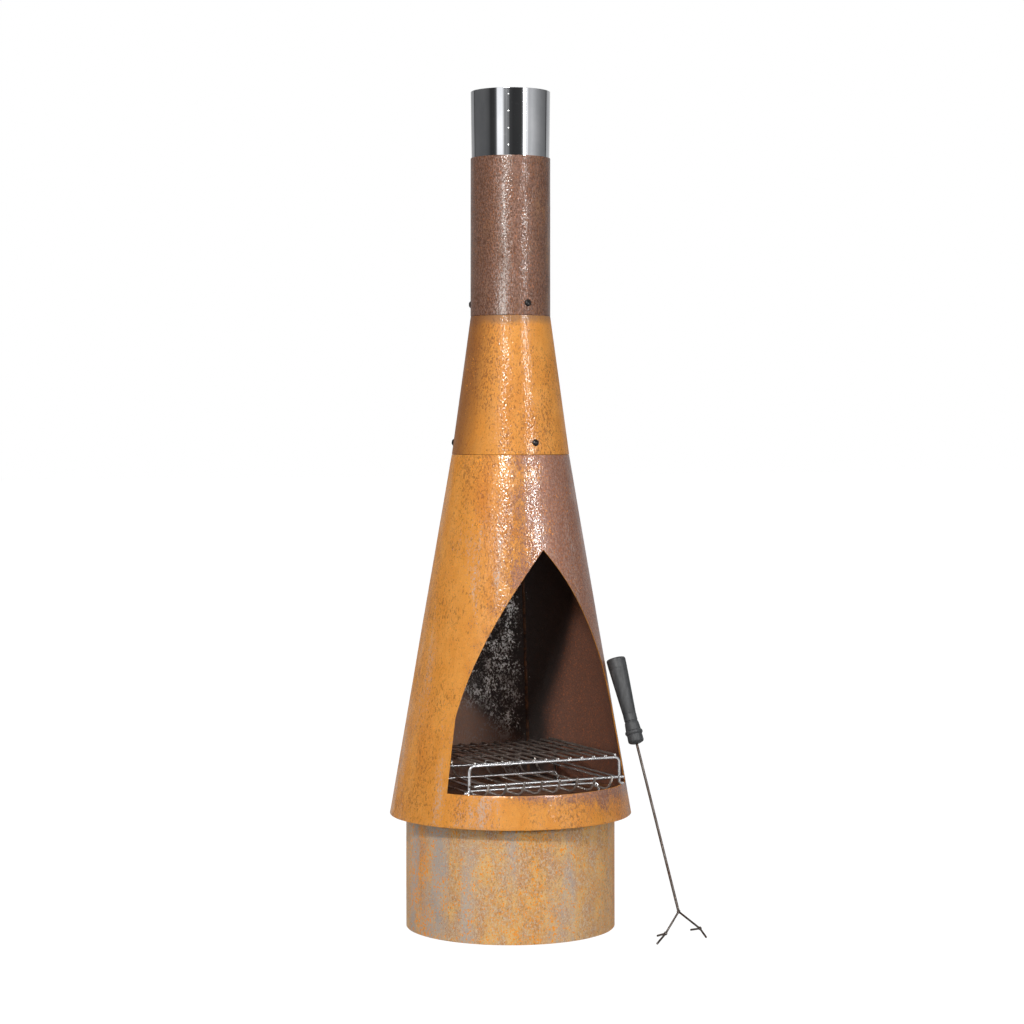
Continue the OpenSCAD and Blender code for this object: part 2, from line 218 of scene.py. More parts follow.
def sheet_ring(profile, longest, segments, wave):
    """A closed (r, z) outline turned round the axis; wave(degrees, z) pushes it out."""
    outline = dense(profile, longest)
    rows = []
    for k in range(len(outline) + 1):
        r, z = outline[k % len(outline)]
        row = []
        for j in range(segments):
            degrees = 360 * j / segments
            row.append(at(degrees, r + wave(degrees, z), z))
        rows.append(row)
    return rows


def tube_sheet(name, profile, segments, wave, materials, inner_r, body, node,
               edge=0.35 * MM, longest=12 * MM):
    """A turned sheet whose faces inside inner_r(z) take the second material."""
    shape = Shape()
    rows = sheet_ring(rounded(profile, edge), longest, segments, wave)
    for low, high in zip(rows, rows[1:]):
        middle = (low[0] + high[0]) / 2
        inside = math.hypot(middle.x, middle.y) < inner_r(middle.z)
        shape.grid([low, high], 1 if inside else 0)
    shape.piece(name, body, materials, [node])


def bent(points, radii):
    """A path of straight runs with an arc at each inner point."""
    points = [Vector(p) for p in points]
    path = [points[0]]
    for before, here, after, radius in zip(points, points[1:], points[2:], radii):
        middle, start, end, _ = corner(before, here, after, radius)
        turn = start.angle(end)
        steps = max(4, math.ceil(math.degrees(turn) / 9))
        for k in range(steps + 1):
            a = math.sin((1 - k / steps) * turn) / math.sin(turn)
            b = math.sin(k / steps * turn) / math.sin(turn)
            path.append(middle + start * a + end * b)
    path.append(points[-1])
    return path


def wire(shape, path, radius, sides, tip=0, chamfer=0.3):
    """A round wire along a path, with cut and slightly chamfered ends; tip is their material."""
    path = [Vector(p) for p in path]
    ways = [(b - a).normalized() for a, b in zip(path, path[1:])]
    tangents = [ways[0], *[(a + b).normalized() for a, b in zip(ways, ways[1:])], ways[-1]]
    side = ways[0].orthogonal().normalized()
    cut = radius * chamfer
    last = len(path) - 1
    stations = [(path[0], 1 - chamfer, 0), (path[0] + ways[0] * cut, 1, 0)]
    stations += [(p, 1, i + 1) for i, p in enumerate(path[1:-1])]
    stations += [(path[-1] - ways[-1] * cut, 1, last), (path[-1], 1 - chamfer, last)]
    rows = []
    for point, share, i in stations:
        side = (side - tangents[i] * side.dot(tangents[i])).normalized()
        up = tangents[i].cross(side)
        row = []
        for k in range(sides):
            angle = 2 * math.pi * k / sides
            row.append(point + (side * math.cos(angle) + up * math.sin(angle)) * radius * share)
        rows.append(row)
    shape.grid(rows)
    shape.caps(rows, tip)


def blob(shape, centre, size, seed, lumps=0.22, rings=6, sides=10):
    """A small uneven lump of weld; size is its half extents."""
    centre = Vector(centre)
    rows = []
    for i in range(rings + 1):
        polar = math.pi * i / rings
        row = []
        for j in range(sides):
            turn = 2 * math.pi * j / sides
            flat = math.sin(polar)
            way = Vector((flat * math.cos(turn), flat * math.sin(turn), math.cos(polar)))
            far = 1 + lumps * noise.noise(way * 1.7 + Vector((seed * 3.1, seed * 1.7, seed)))
            row.append(centre + Vector([w * s for w, s in zip(way, size)]) * far)
        rows.append(row)
    shape.grid(rows)


def lathe(shape, stations, place, sides):
    """Turns (height, radius) stations round the axis of place; a radius may depend on the turn."""
    rows = []
    for height, radius in stations:
        row = []
        for k in range(sides):
            turn = 2 * math.pi * k / sides
            r = radius(turn) if callable(radius) else radius
            row.append(place @ Vector((r * math.cos(turn), r * math.sin(turn), height)))
        rows.append(row)
    shape.grid(rows)


def facing(point, way):
    """A place at a point whose +Z looks along way."""
    turn = Vector(way).to_track_quat("Z", "Y").to_matrix().to_4x4()
    return Matrix.Translation(point) @ turn


def mm(pairs):
    """Pairs of millimetres as metres."""
    return [(a * MM, b * MM) for a, b in pairs]


# ---- materials

def linear(r, g, b):
    """An 8-bit screen colour as a linear one."""
    def one(v):
        v /= 255
        return v / 12.92 if v <= 0.04045 else ((v + 0.055) / 1.055) ** 2.4
    return (one(r), one(g), one(b), 1)


class Nodes:
    """Short ways to add nodes to a node tree."""

    def __init__(self, tree):
        self.tree = tree

    def put(self, value, socket):
        """Links a socket or sets a value; a colour of three 8-bit levels is made linear."""
        if isinstance(value, bpy.types.NodeSocket):
            self.tree.links.new(value, socket)
        elif socket.type == "RGBA" and len(value) == 3:
            socket.default_value = linear(*value)
        else:
            socket.default_value = value

    def node(self, kind, sockets=None, **settings):
        """A node with its settings, and values or links in its sockets."""
        made = self.tree.nodes.new(kind)
        for key, value in settings.items():
            setattr(made, key, value)
        for key, value in (sockets or {}).items():
            self.put(value, made.inputs[key])
        return made

    def math(self, operation, *values):
        return self.node("ShaderNodeMath", dict(enumerate(values)), operation=operation).outputs[0]

    def mix(self, factor, a, b):
        return self.node("ShaderNodeMix", {0: factor, 6: a, 7: b}, data_type="RGBA").outputs[2]


class Shader(Nodes):
    """A node material on object coordinates, built a step at a time."""

    def __init__(self, name, **fixed):
        self.material = bpy.data.materials.new(name)
        self.material.use_nodes = True
        super().__init__(self.material.node_tree)
        self.bsdf = self.tree.nodes["Principled BSDF"]
        for socket, value in fixed.items():
            self.bsdf.inputs[socket.replace("_", " ")].default_value = value
        self.place = self.node("ShaderNodeTexCoord").outputs["Object"]

    def stretched(self, x, y, z, shift=0.0):
        """The place scaled and moved; a small scale makes long marks."""
        moved = (shift, shift * 0.7, shift * 1.3)
        sockets = {"Vector": self.place, "Scale": (x, y, z), "Location": moved}
        return self.node("ShaderNodeMapping", sockets).outputs["Vector"]

    def noise(self, scale, detail=4.0, rough=0.6, place=None, warp=0.0):
        sockets = {"Vector": self.place if place is None else place, "Scale": scale,
                   "Detail": detail, "Roughness": rough, "Distortion": warp}
        return self.node("ShaderNodeTexNoise", sockets).outputs["Fac"]

    def weigh(self, *pairs):
        """The sum of value times weight."""
        total = 0.0
        for value, weight in pairs:
            total = self.math("MULTIPLY_ADD", value, weight, total)
        return total

    def mask(self, value, low, high, start=0.0, end=1.0):
        """Eases from start to end as the value goes from low to high."""
        sockets = {"Value": value, "From Min": low, "From Max": high, "To Min": start, "To Max": end}
        made = self.node("ShaderNodeMapRange", sockets, interpolation_type="SMOOTHSTEP")
        return made.outputs["Result"]

    def stain(self, colour, value, low, high, share, paint):
        """The colour, with this share of paint over it where the value is high."""
        return self.mix(self.mask(value, low, high, 0, share), colour, paint)

    def blend(self, factor, a, b):
        return self.node("ShaderNodeMix", {0: factor, 2: a, 3: b}, data_type="FLOAT").outputs[0]

    def height(self):
        return self.node("ShaderNodeSeparateXYZ", {0: self.place}).outputs[2]

    def side(self, degrees):
        """1 on the side of the body at this angle, -1 on the far side."""
        kind = "ShaderNodeVectorMath"
        flat = self.node(kind, {0: self.place, 1: (1, 1, 0)}, operation="MULTIPLY").outputs[0]
        unit = self.node(kind, {0: flat}, operation="NORMALIZE").outputs[0]
        dot = self.node(kind, {0: unit, 1: at(degrees, 1, 0)}, operation="DOT_PRODUCT")
        return dot.outputs["Value"]

    def bump(self, height, distance, strength=1.0, normal=None):
        sockets = {"Height": height, "Distance": distance, "Strength": strength}
        if normal is not None:
            sockets["Normal"] = normal
        return self.node("ShaderNodeBump", sockets).outputs["Normal"]

    def done(self, colour, rough, metal, normal):
        sockets = {"Base Color": colour, "Roughness": rough, "Metallic": metal, "Normal": normal}
        for name, value in sockets.items():
            self.put(value, self.bsdf.inputs[name])
        return self.material


OCHRE = (214, 141, 56)
OCHRE_LIGHT = (222, 152, 68)
ORANGE = (192, 108, 40)
UMBER = (112, 66, 34)
MAUVE = (134, 92, 74)
DARK_SPECK = (70, 46, 36)
BARE_GREY = (176, 172, 168)
SOOT_BROWN = (60, 42, 34)


def rusted(name, cover, lean=0.0, lean_to=0.0, grey=0.0, gloss=0.3,
           palette=(OCHRE, OCHRE_LIGHT, ORANGE), scale=MAUVE, finer=1.0, paler=0.8, shift=0.0,
           freckles=0.6, dots=0.3, sparks=0.6, grit=1.0, seam=None, low_edge=None,
           brown_side=None, grey_side=None, high_edge=None):
    """Rusting sheet: ochre rust over darker mill scale, with bare grey metal where it is rubbed.

    cover is how much of it is rust, and there is less of it towards lean_to degrees.
    palette is the rust's main, light and deep colour; scale is the mill scale's, paler and
    sparks lay light brown and orange over that.
    freckles darkens the rust in small dashes, dots strews it with bright orange grains.
    grey is how much is rubbed bare, gloss the strength of the glints and grit their fineness.
    brown_side and grey_side are angles, low_edge and high_edge heights with more of a stain.
    """
    s = Shader(name, Specular_IOR_Level=0.16, Coat_Roughness=0.19 * grit ** 0.5)
    loose = s.stretched(1, 1, 0.6, shift + 3)
    broad = s.noise(10, 5, 0.55, s.stretched(1, 1, 0.3, shift))
    patchy = s.noise(46, 6, 0.68, loose)
    fine = s.noise(250 * finer, 4, 0.7, loose)
    dust = s.noise(600 * finer, 3, 0.7, s.stretched(1, 1, 1, shift + 6))
    amount = s.weigh((broad, 0.55), (patchy, 0.65), (fine, 0.9), (dust, 0.8), (s.side(lean_to), -lean))
    amount = s.math("ADD", amount, cover - 1.45)
    if low_edge is not None:
        near = s.mask(s.height(), low_edge, low_edge + 60 * MM, 0.5, 0)
        amount = s.math("ADD", amount, near)
    rust = s.mask(amount, 0.40, 0.60)

    main, light, deep = palette
    ochre = s.stain(main, patchy, 0.38, 0.66, 1, light)
    ochre = s.stain(ochre, broad, 0.5, 0.72, 0.45, deep)
    dashes = s.noise(250 * finer, 3, 0.6, s.stretched(1, 1, 0.5, shift + 9), 0.8)
    dashes = s.weigh((dashes, 1.0), (broad, 0.22), (s.noise(24, 3, 0.5, loose), 0.30))
    ochre = s.stain(ochre, dashes, 0.78, 0.92, freckles, UMBER)
    ochre = s.stain(ochre, fine, 0.53, 0.70, freckles * 0.9, deep)
    ochre = s.stain(ochre, dust, 0.56, 0.70, freckles * 0.7, UMBER)
    if high_edge is not None:
        near = s.mask(s.height(), high_edge - 34 * MM, high_edge, 0, 0.55)
        stain = s.weigh((near, 1.0), (broad, 0.5), (patchy, 0.4))
        ochre = s.stain(ochre, stain, 0.72, 1.0, 0.7, (128, 98, 74))
    if brown_side is not None:
        shade = s.weigh((s.side(brown_side), 1.0), (broad, 0.8), (patchy, 0.5), (dust, 0.4))
        ochre = s.stain(ochre, shade, 1.15, 1.85, 0.75, (116, 70, 40))

    bare = s.stain(scale, fine, 0.40, 0.62, paler, (168, 130, 114))
    bare = s.stain(bare, dust, 0.52, 0.66, 0.55, DARK_SPECK)
    spots = s.noise(480, 2, 0.5, s.stretched(1, 1, 0.8, shift + 15))
    bare = s.stain(bare, spots, 0.56, 0.66, sparks, ORANGE)
    runs = s.noise(15, 5, 0.6, s.stretched(1.5, 1.5, 0.14, shift + 33))
    rubbed = s.weigh((runs, 1.0), (fine, 0.6), (dust, 0.6))
    if grey_side is not None:
        rubbed = s.math("ADD", rubbed, s.mask(s.side(grey_side), 0.8, 1.0, 0, 0.12))
    rubbed = s.mask(rubbed, 1.30 - grey * 0.4, 1.48 - grey * 0.4)
    colour = s.mix(rust, bare, ochre)
    colour = s.mix(s.math("MULTIPLY", rubbed, 0.8), colour, BARE_GREY)
    grains = s.noise(400, 2, 0.5, s.stretched(1, 1, 0.8, shift + 19))
    grains = s.weigh((grains, 1.0), (patchy, 0.5), (broad, 0.3))
    few = 1.05 - dots * 0.1
    colour = s.stain(colour, grains, few, few + 0.05, 0.95, (238, 150, 44))

    grain = s.noise(480 * grit, 2, 0.6, s.stretched(1, 1, 0.8, shift + 27))
    streaks = s.noise(30, 4, 0.6, s.stretched(1.4, 1.4, 0.25, shift + 29))
    glints = s.weigh((grain, 1.0), (streaks, 0.5), (patchy, 0.3))
    s.put(s.mask(glints, 0.88, 0.96, 0, gloss), s.bsdf.inputs["Coat Weight"])
    facets = s.noise(310 * grit, 0, 0.5, s.stretched(1, 1, 0.7, shift + 31))
    facets = s.weigh((facets, 1.0), (s.noise(110, 2, 0.5), 0.6))
    s.put(s.bump(facets, 0.36 * MM), s.bsdf.inputs["Coat Normal"])
    dull = s.mask(dust, 0.40, 0.60, 0.62, 0.46)
    worn = s.mask(dust, 0.35, 0.65, 0.34, 0.5)
    rough = s.blend(rust, worn, dull)
    metal = s.blend(rust, s.blend(rubbed, 0.22, 0.6), 0.04)
    height = s.weigh((fine, 0.8), (dust, 0.55), (patchy, 0.4), (rust, 0.15))
    normal = s.bump(height, 1.2 * MM, 0.8)
    if seam is not None:
        ridge = s.mask(s.side(seam), 0.99985, 0.99999)
        colour = s.mix(s.math("MULTIPLY", ridge, 0.8), colour, UMBER)
        normal = s.bump(ridge, 0.5 * MM, 0.8, normal)
    return s.done(colour, rough, metal, normal)


def soot_and_painted_shade(name, ash=1.0, warm=1.0, shift=0.0):
    """The inner face of the sheet: soot and brown scale, with flaking ash, painted shadow and light.

    A dark patch of soot and painted shadow hangs on the back wall between two slanting lines,
    right and edge, which follow the shadows of the arch's edges. Below edge the wall is painted
    paler, as if lit, and the pale specks are ash and partly painted glints. ash scales the
    painted shadow as well as the ash, and warm scales the brown and the painted light.
    """
    s = Shader(name)
    broad = s.noise(7, 5, 0.6, s.stretched(1, 1, 0.5, shift))
    patchy = s.noise(50, 6, 0.7, s.stretched(1, 1, 0.8, shift + 5), 0.5)
    fine = s.noise(380, 4, 0.7, s.stretched(1, 1, 0.7, shift + 7))
    dust = s.noise(700, 3, 0.7)
    colour = s.stain((36, 26, 21), broad, 0.35, 0.65, 1, (66, 46, 36))
    brown = s.mask(s.weigh((s.side(75), 0.55), (broad, 0.4)), 0.10, 0.55, 0, warm)
    colour = s.mix(brown, colour, (114, 76, 60))
    colour = s.stain(colour, dust, 0.50, 0.66, 0.6, SOOT_BROWN)
    speck = s.mask(s.noise(360, 3, 0.6, s.stretched(1, 1, 1, shift + 11)), 0.56, 0.64, 0, 0.4)
    colour = s.mix(s.math("MULTIPLY", speck, brown), colour, (196, 110, 60))
    turn = s.math("ARCTAN2", s.side(-124), s.side(146))
    rise = s.height()

    def shadow_border(way, slope, foot, limit):
        """How far inside a slanting shadow line, or a steep one further down."""
        slant = s.weigh((turn, way), (rise, slope), (foot, 1.0), (broad, 0.12))
        return s.math("MAXIMUM", slant, s.weigh((turn, way), (limit, 1.0), (broad, 0.12)))
    # right and edge follow the shadow lines that the arch's edges cast on the back wall.
    right = shadow_border(1.0, 3.0, 0.07 - 3.0 * 0.25, 0.24)
    edge = shadow_border(-1.0, 7.0, 0.25 - 7.0 * 0.277, 0.14)
    # Painted light: below the edge line the wall is paler, as if lit through the arch.
    colour = s.mix(s.mask(edge, -0.12, 0.16, 0.9 * warm, 0), colour, (158, 116, 94))
    # Painted shadow, partly soot: darkens the back wall between the two shadow lines.
    soot_and_shadow = s.math("MULTIPLY", s.mask(right, 0.0, 0.16), s.mask(edge, 0.0, 0.25))
    colour = s.mix(s.math("MULTIPLY", soot_and_shadow, 0.86 * ash), colour, (22, 15, 12))
    back = s.math("MULTIPLY", s.mask(s.side(171), 0.86, 0.97), s.mask(rise, 0.60, 0.48))
    grain = s.weigh((patchy, 1.0), (fine, 1.7), (back, 0.40 * ash))
    colour = s.stain(colour, grain, 1.58, 1.76, 0.4 * ash, (104, 90, 82))
    # Pale ash specks, partly painted glints, mostly above the edge line.
    ash_flecks_and_glints = s.math("MULTIPLY", s.mask(grain, 1.76, 1.92), s.mask(edge, -0.10, 0.35, 0.12, 1.0))
    ash_flecks_and_glints = s.math("MULTIPLY", ash_flecks_and_glints, s.mask(s.noise(26, 3, 0.6), 0.38, 0.60, 0.35, 1.0))
    colour = s.mix(ash_flecks_and_glints, colour, (246, 244, 242))
    rough = s.blend(ash_flecks_and_glints, s.mask(dust, 0.3, 0.7, 0.42, 0.75), 0.32)
    normal = s.bump(s.weigh((patchy, 0.4), (fine, 0.8), (dust, 0.4)), 0.9 * MM, 0.8)
    return s.done(colour, rough, s.math("MULTIPLY", ash_flecks_and_glints, 0.6), normal)


def weld_metal(name):
    """A rusted weld bead."""
    s = Shader(name)
    coarse = s.noise(120, 5, 0.65)
    fine = s.noise(520, 4, 0.7)
    colour = s.stain((60, 40, 30), coarse, 0.35, 0.62, 1, (112, 72, 42))
    colour = s.stain(colour, fine, 0.55, 0.7, 0.7, SOOT_BROWN)
    rough = s.mask(fine, 0.35, 0.65, 0.45, 0.8)
    normal = s.bump(s.weigh((coarse, 0.5), (fine, 0.6)), 0.4 * MM, 0.7)
    return s.done(colour, rough, s.mask(coarse, 0.3, 0.7, 0.25, 0.1), normal)


def black_fastener():
    """Black oxide, worn grey and rusting in specks."""
    s = Shader("black_oxide")
    wear = s.noise(420, 5, 0.65)
    fine = s.noise(1500, 3, 0.6)
    colour = s.stain((26, 25, 26), wear, 0.5, 0.72, 1, (70, 62, 56))
    colour = s.stain(colour, s.noise(700, 4, 0.6), 0.64, 0.74, 0.7, (120, 74, 44))
    rough = s.mask(fine, 0.35, 0.65, 0.32, 0.5)
    normal = s.bump(s.weigh((wear, 0.5), (fine, 0.5)), 0.08 * MM, 0.6)
    return s.done(colour, rough, s.mask(wear, 0.3, 0.7, 0.5, 0.8), normal)


def polished_steel():
    """Mirror stainless sheet with faint rolling lines, smudges and a few fine scratches."""
    s = Shader("polished_stainless")
    rolled = s.noise(900, 3, 0.5, s.stretched(1, 1, 0.02))
    smudge = s.noise(22, 5, 0.6, s.stretched(1, 1, 0.6, 4))
    scratch = s.mask(s.noise(260, 2, 0.5, s.stretched(0.05, 1, 1.6, 8), 0.4), 0.70, 0.74)
    colour = s.stain((206, 207, 210), smudge, 0.3, 0.75, 1, (186, 188, 192))
    rough = s.weigh((rolled, 0.03), (scratch, 0.06), (s.mask(smudge, 0.35, 0.75, 0.02, 0.06), 1.0))
    normal = s.bump(s.weigh((rolled, 0.6), (smudge, 0.5), (scratch, -0.4)), 0.012 * MM, 0.5)
    return s.done(colour, rough, 1.0, normal)


def wire_metal(name, clean, tarnish, shine, soot=0.3, shift=0.0, metal=1.0, bump=0.05):
    """Plated wire, dulled by heat: clean metal, tarnish and a film of soot."""
    s = Shader(name)
    broad = s.noise(26, 4, 0.6, s.stretched(1, 1, 1, shift))
    fine = s.noise(420, 4, 0.65, s.stretched(1, 1, 1, shift + 2))
    drawn = s.noise(1400, 2, 0.5)
    colour = s.stain(clean, broad, 0.38, 0.66, 1, tarnish)
    film = s.weigh((broad, 0.7), (fine, 0.5))
    colour = s.stain(colour, film, 0.62, 0.78, soot, (48, 36, 30))
    rough = s.weigh((drawn, 0.08), (s.mask(broad, 0.3, 0.7, shine, shine + 0.16), 1.0))
    normal = s.bump(s.weigh((fine, 0.5), (drawn, 0.4)), bump * MM, 0.6)
    return s.done(colour, rough, metal, normal)


def painted_handle():
    """Turned wood under dark grey matt paint, with the grain just showing and pale rubbed specks."""
    s = Shader("poker_grip_paint", Specular_IOR_Level=0.35)
    grain = s.noise(260, 5, 0.6, s.stretched(1, 1, 0.10), 0.3)
    fine = s.noise(900, 4, 0.65)
    smudge = s.noise(60, 4, 0.6)
    colour = s.stain((50, 51, 53), grain, 0.4, 0.62, 1, (66, 67, 69))
    colour = s.stain(colour, smudge, 0.5, 0.75, 0.4, (84, 84, 84))
    colour = s.stain(colour, fine, 0.66, 0.76, 0.5, (104, 103, 101))
    rough = s.mask(smudge, 0.35, 0.7, 0.5, 0.68)
    normal = s.bump(s.weigh((grain, 0.8), (fine, 0.35)), 0.18 * MM, 0.6)
    return s.done(colour, rough, 0.0, normal)


def poker_metal():
    """Bare steel wire, browned by heat."""
    s = Shader("poker_steel_wire")
    broad = s.noise(40, 5, 0.6, s.stretched(1, 1, 0.5))
    fine = s.noise(520, 4, 0.65)
    colour = s.stain((86, 80, 76), broad, 0.35, 0.62, 1, (62, 50, 44))
    specks = s.weigh((broad, 0.5), (fine, 0.7))
    colour = s.stain(colour, specks, 0.66, 0.8, 0.7, (122, 80, 52))
    rough = s.mask(fine, 0.35, 0.7, 0.34, 0.6)
    normal = s.bump(s.weigh((broad, 0.3), (fine, 0.7)), 0.08 * MM, 0.7)
    return s.done(colour, rough, s.mask(broad, 0.3, 0.7, 0.9, 0.6), normal)


def hearth_floor():
    """The fire floor: brown scale with soot, grey ash and rust patches."""
    s = Shader("fire_floor_steel")
    broad = s.noise(11, 6, 0.6)
    patchy = s.noise(60, 6, 0.65)
    fine = s.noise(340, 5, 0.7)
    colour = s.stain((140, 88, 52), broad, 0.35, 0.65, 1, (96, 62, 42))
    colour = s.stain(colour, patchy, 0.52, 0.68, 0.6, (176, 110, 60))
    specks = s.weigh((patchy, 0.6), (fine, 0.7))
    colour = s.stain(colour, specks, 0.72, 0.84, 0.7, (150, 144, 138))
    rough = s.mask(fine, 0.35, 0.65, 0.5, 0.85)
    normal = s.bump(specks, 0.6 * MM, 0.7)
    return s.done(colour, rough, s.mask(broad, 0.3, 0.7, 0.3, 0.1), normal)


DRUM_OUT = rusted(
    "drum_rust", 0.60, lean=0.06, lean_to=-60, grey=0.44, gloss=0.35, shift=2.0, freckles=0.5,
    dots=0.6, finer=1.55, paler=1.0, sparks=0.9, seam=SHELL_SEAM, scale=(212, 190, 160),
    grey_side=-72, palette=((214, 158, 90), (230, 188, 122), (200, 116, 46)))
SHELL_OUT = rusted(
    "fire_house_rust", 0.64, lean=0.46, lean_to=52, grey=0.28, gloss=1.0, seam=SHELL_SEAM,
    freckles=0.6, dots=-0.3, finer=1.5, grit=1.2, low_edge=SKIRT_Z)
CONE_OUT = rusted(
    "chimney_rust", 1.0, gloss=0.5, shift=5.0, freckles=0.75, dots=-0.5, finer=1.8, grit=1.2,
    seam=CHIMNEY_SEAM, brown_side=-112, high_edge=CONE_TOP_Z)
PIPE_OUT = rusted(
    "pipe_rust", 0.40, lean=-0.06, lean_to=100, gloss=1.0, shift=8.0, freckles=0.7, dots=-1.5,
    finer=1.8, paler=0.5, sparks=0.3, grit=1.6, seam=CHIMNEY_SEAM, scale=(88, 58, 43),
    palette=((128, 86, 54), (150, 108, 72), UMBER))
CUT_EDGE = rusted("cut_edge_steel", 0.8, grey=0.1, gloss=0.0, shift=11.0)
# The fire house's inner face, with painted shadow and painted light on its back wall.
SOOT_AND_SHADE = soot_and_painted_shade("soot_and_painted_shade_on_steel")
PIPE_IN = soot_and_painted_shade("soot_in_flue", ash=0.0, warm=0.3, shift=3.0)
DRUM_IN = rusted(
    "drum_inner_rust", 0.5, shift=14.0,
    palette=((150, 98, 56), (166, 112, 66), (124, 74, 40)))
DARK_STEEL = rusted(
    "inner_steel_rust", 0.45, shift=17.0, scale=(58, 45, 40),
    palette=((120, 76, 46), (136, 88, 56), (96, 58, 36)))
WELD = weld_metal("weld_rust")
SPOT = wire_metal("spot_weld_steel", (236, 236, 236), (214, 214, 214), 0.22, 0.1, 12.0, 0.5)
BLACK = black_fastener()
MIRROR = polished_steel()
BRIGHT_WIRE = wire_metal("bright_wire", (206, 206, 208), (170, 170, 172), 0.10, 0.1, 0.0, 0.8, 0.01)
GRID_WIRE = wire_metal("grid_wire", (158, 148, 142), (124, 114, 108), 0.18, 0.2, 4.0, 0.65, 0.01)
CUT_WIRE = wire_metal("cut_wire_end", (242, 242, 242), (222, 222, 222), 0.16, 0.0, 6.0, 0.4)
LOG_WIRE = wire_metal("log_grate_wire", (210, 204, 198), (170, 162, 156), 0.12, 0.3, 9.0, 0.7, 0.02)
# A darker copy of the grid's wire: soot, and painted shade for the bars under and behind the grid.
SHADED_SOOTY_WIRE = wire_metal("shaded_sooty_wire", (84, 72, 66), (60, 50, 45), 0.34, 0.6, 15.0, 0.5, 0.02)
GRIP = painted_handle()
POKER = poker_metal()
HEARTH = hearth_floor()

# ---- drum and floor

def make_drum():
    profile = [(DRUM_R, 0), (DRUM_R, DRUM_H), (DRUM_R - SHELL_T, DRUM_H), (DRUM_R - SHELL_T, 0)]

    def wave(degrees, z):
        return ripple(degrees, z, 3.2, 0.45 * MM, 2) - 0.2 * MM
    tube_sheet("drum_sheet", profile, 240, wave, [DRUM_OUT, DRUM_IN],
               lambda z: DRUM_R - SHELL_T * 0.6, "shell", "base_drum")


def make_fire_floor():
    shape = Shape()
    hub = 0.5 * MM
    profile = [(hub, FLOOR_TOP), (FLOOR_R, FLOOR_TOP), (FLOOR_R, FLOOR_Z), (hub, FLOOR_Z)]
    rows = sheet_ring(rounded(profile, 0.3 * MM, 2), 9 * MM, 160, lambda d, z: 0)
    for row in rows:
        for point in row:
            sag = noise.noise(Vector((point.x * 9, point.y * 9, 0.3)))
            point.z += 0.15 * MM * (sag - 1)
    shape.grid(rows)
    shape.piece("fire_floor_plate", "shell", [HEARTH], ["fire_floor"])


def bead(shape, start, end, radius, inward, seed):
    """A weld bead of overlapping ripples between two points on a wall."""
    start = Vector(start)
    end = Vector(end)
    way = (end - start).normalized()
    inward = Vector(inward).normalized()
    across = way.cross(inward)
    length = (end - start).length
    steps = int(length / (0.9 * MM))
    rows = []
    for i in range(steps + 1):
        t = i / steps
        phase = t * length / (3.2 * MM)
        swell = 0.82 + 0.18 * abs(math.sin(phase * math.pi))
        swell += 0.10 * noise.noise(Vector((t * length * 60, seed, 0)))
        if i in (0, steps):
            swell = 0.05
        drift = across * 0.4 * MM * noise.noise(Vector((t * length * 24, seed + 5, 0)))
        centre = start.lerp(end, t) + drift
        row = []
        for k in range(14):
            turn = 2 * math.pi * k / 14
            lag = way * 0.8 * MM * math.cos(turn)
            reach = inward * math.cos(turn) * radius * 0.85 + across * math.sin(turn) * radius * 1.6
            row.append(centre + reach * swell - lag * swell)
        rows.append(row)
    shape.grid(rows)


def make_seam_welds():
    plans = [
        ("drum_weld", "drum_seam_weld", SHELL_SEAM, lambda z: DRUM_R - SHELL_T, 1.5 * MM),
        ("fire_house_weld", "firebox_seam_weld", SHELL_SEAM, lambda z: shell_r(z) - SHELL_T, 1.6 * MM),
        ("cone_weld", "cone_seam_weld", CHIMNEY_SEAM, lambda z: cone_r(z) - CONE_T, 1.2 * MM),
        ("pipe_weld", "pipe_seam_weld", CHIMNEY_SEAM, lambda z: PIPE_R - PIPE_T, 1.0 * MM),
    ]
    for number, (name, node, degrees, inner, radius) in enumerate(plans):
        low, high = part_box(node)
        start, end = [at(degrees, inner(z), z) for z in (low.z + 2 * MM, high.z - 2 * MM)]
        shape = Shape()
        bead(shape, start, end, radius, -at(degrees, 1, 0), number)
        shape.piece(name, "shell", [WELD], [node])


# ---- fire house

def arch_height(x_out):
    """The height at which the opening is this wide, by halving."""
    low, high = SILL_Z, ARCH_TOP_Z
    for _ in range(50):
        middle = (low + high) / 2
        wide = math.degrees(math.asin(arch_half_width(middle) / shell_r(middle)))
        low, high = (middle, high) if wide > x_out else (low, middle)
    return (low + high) / 2


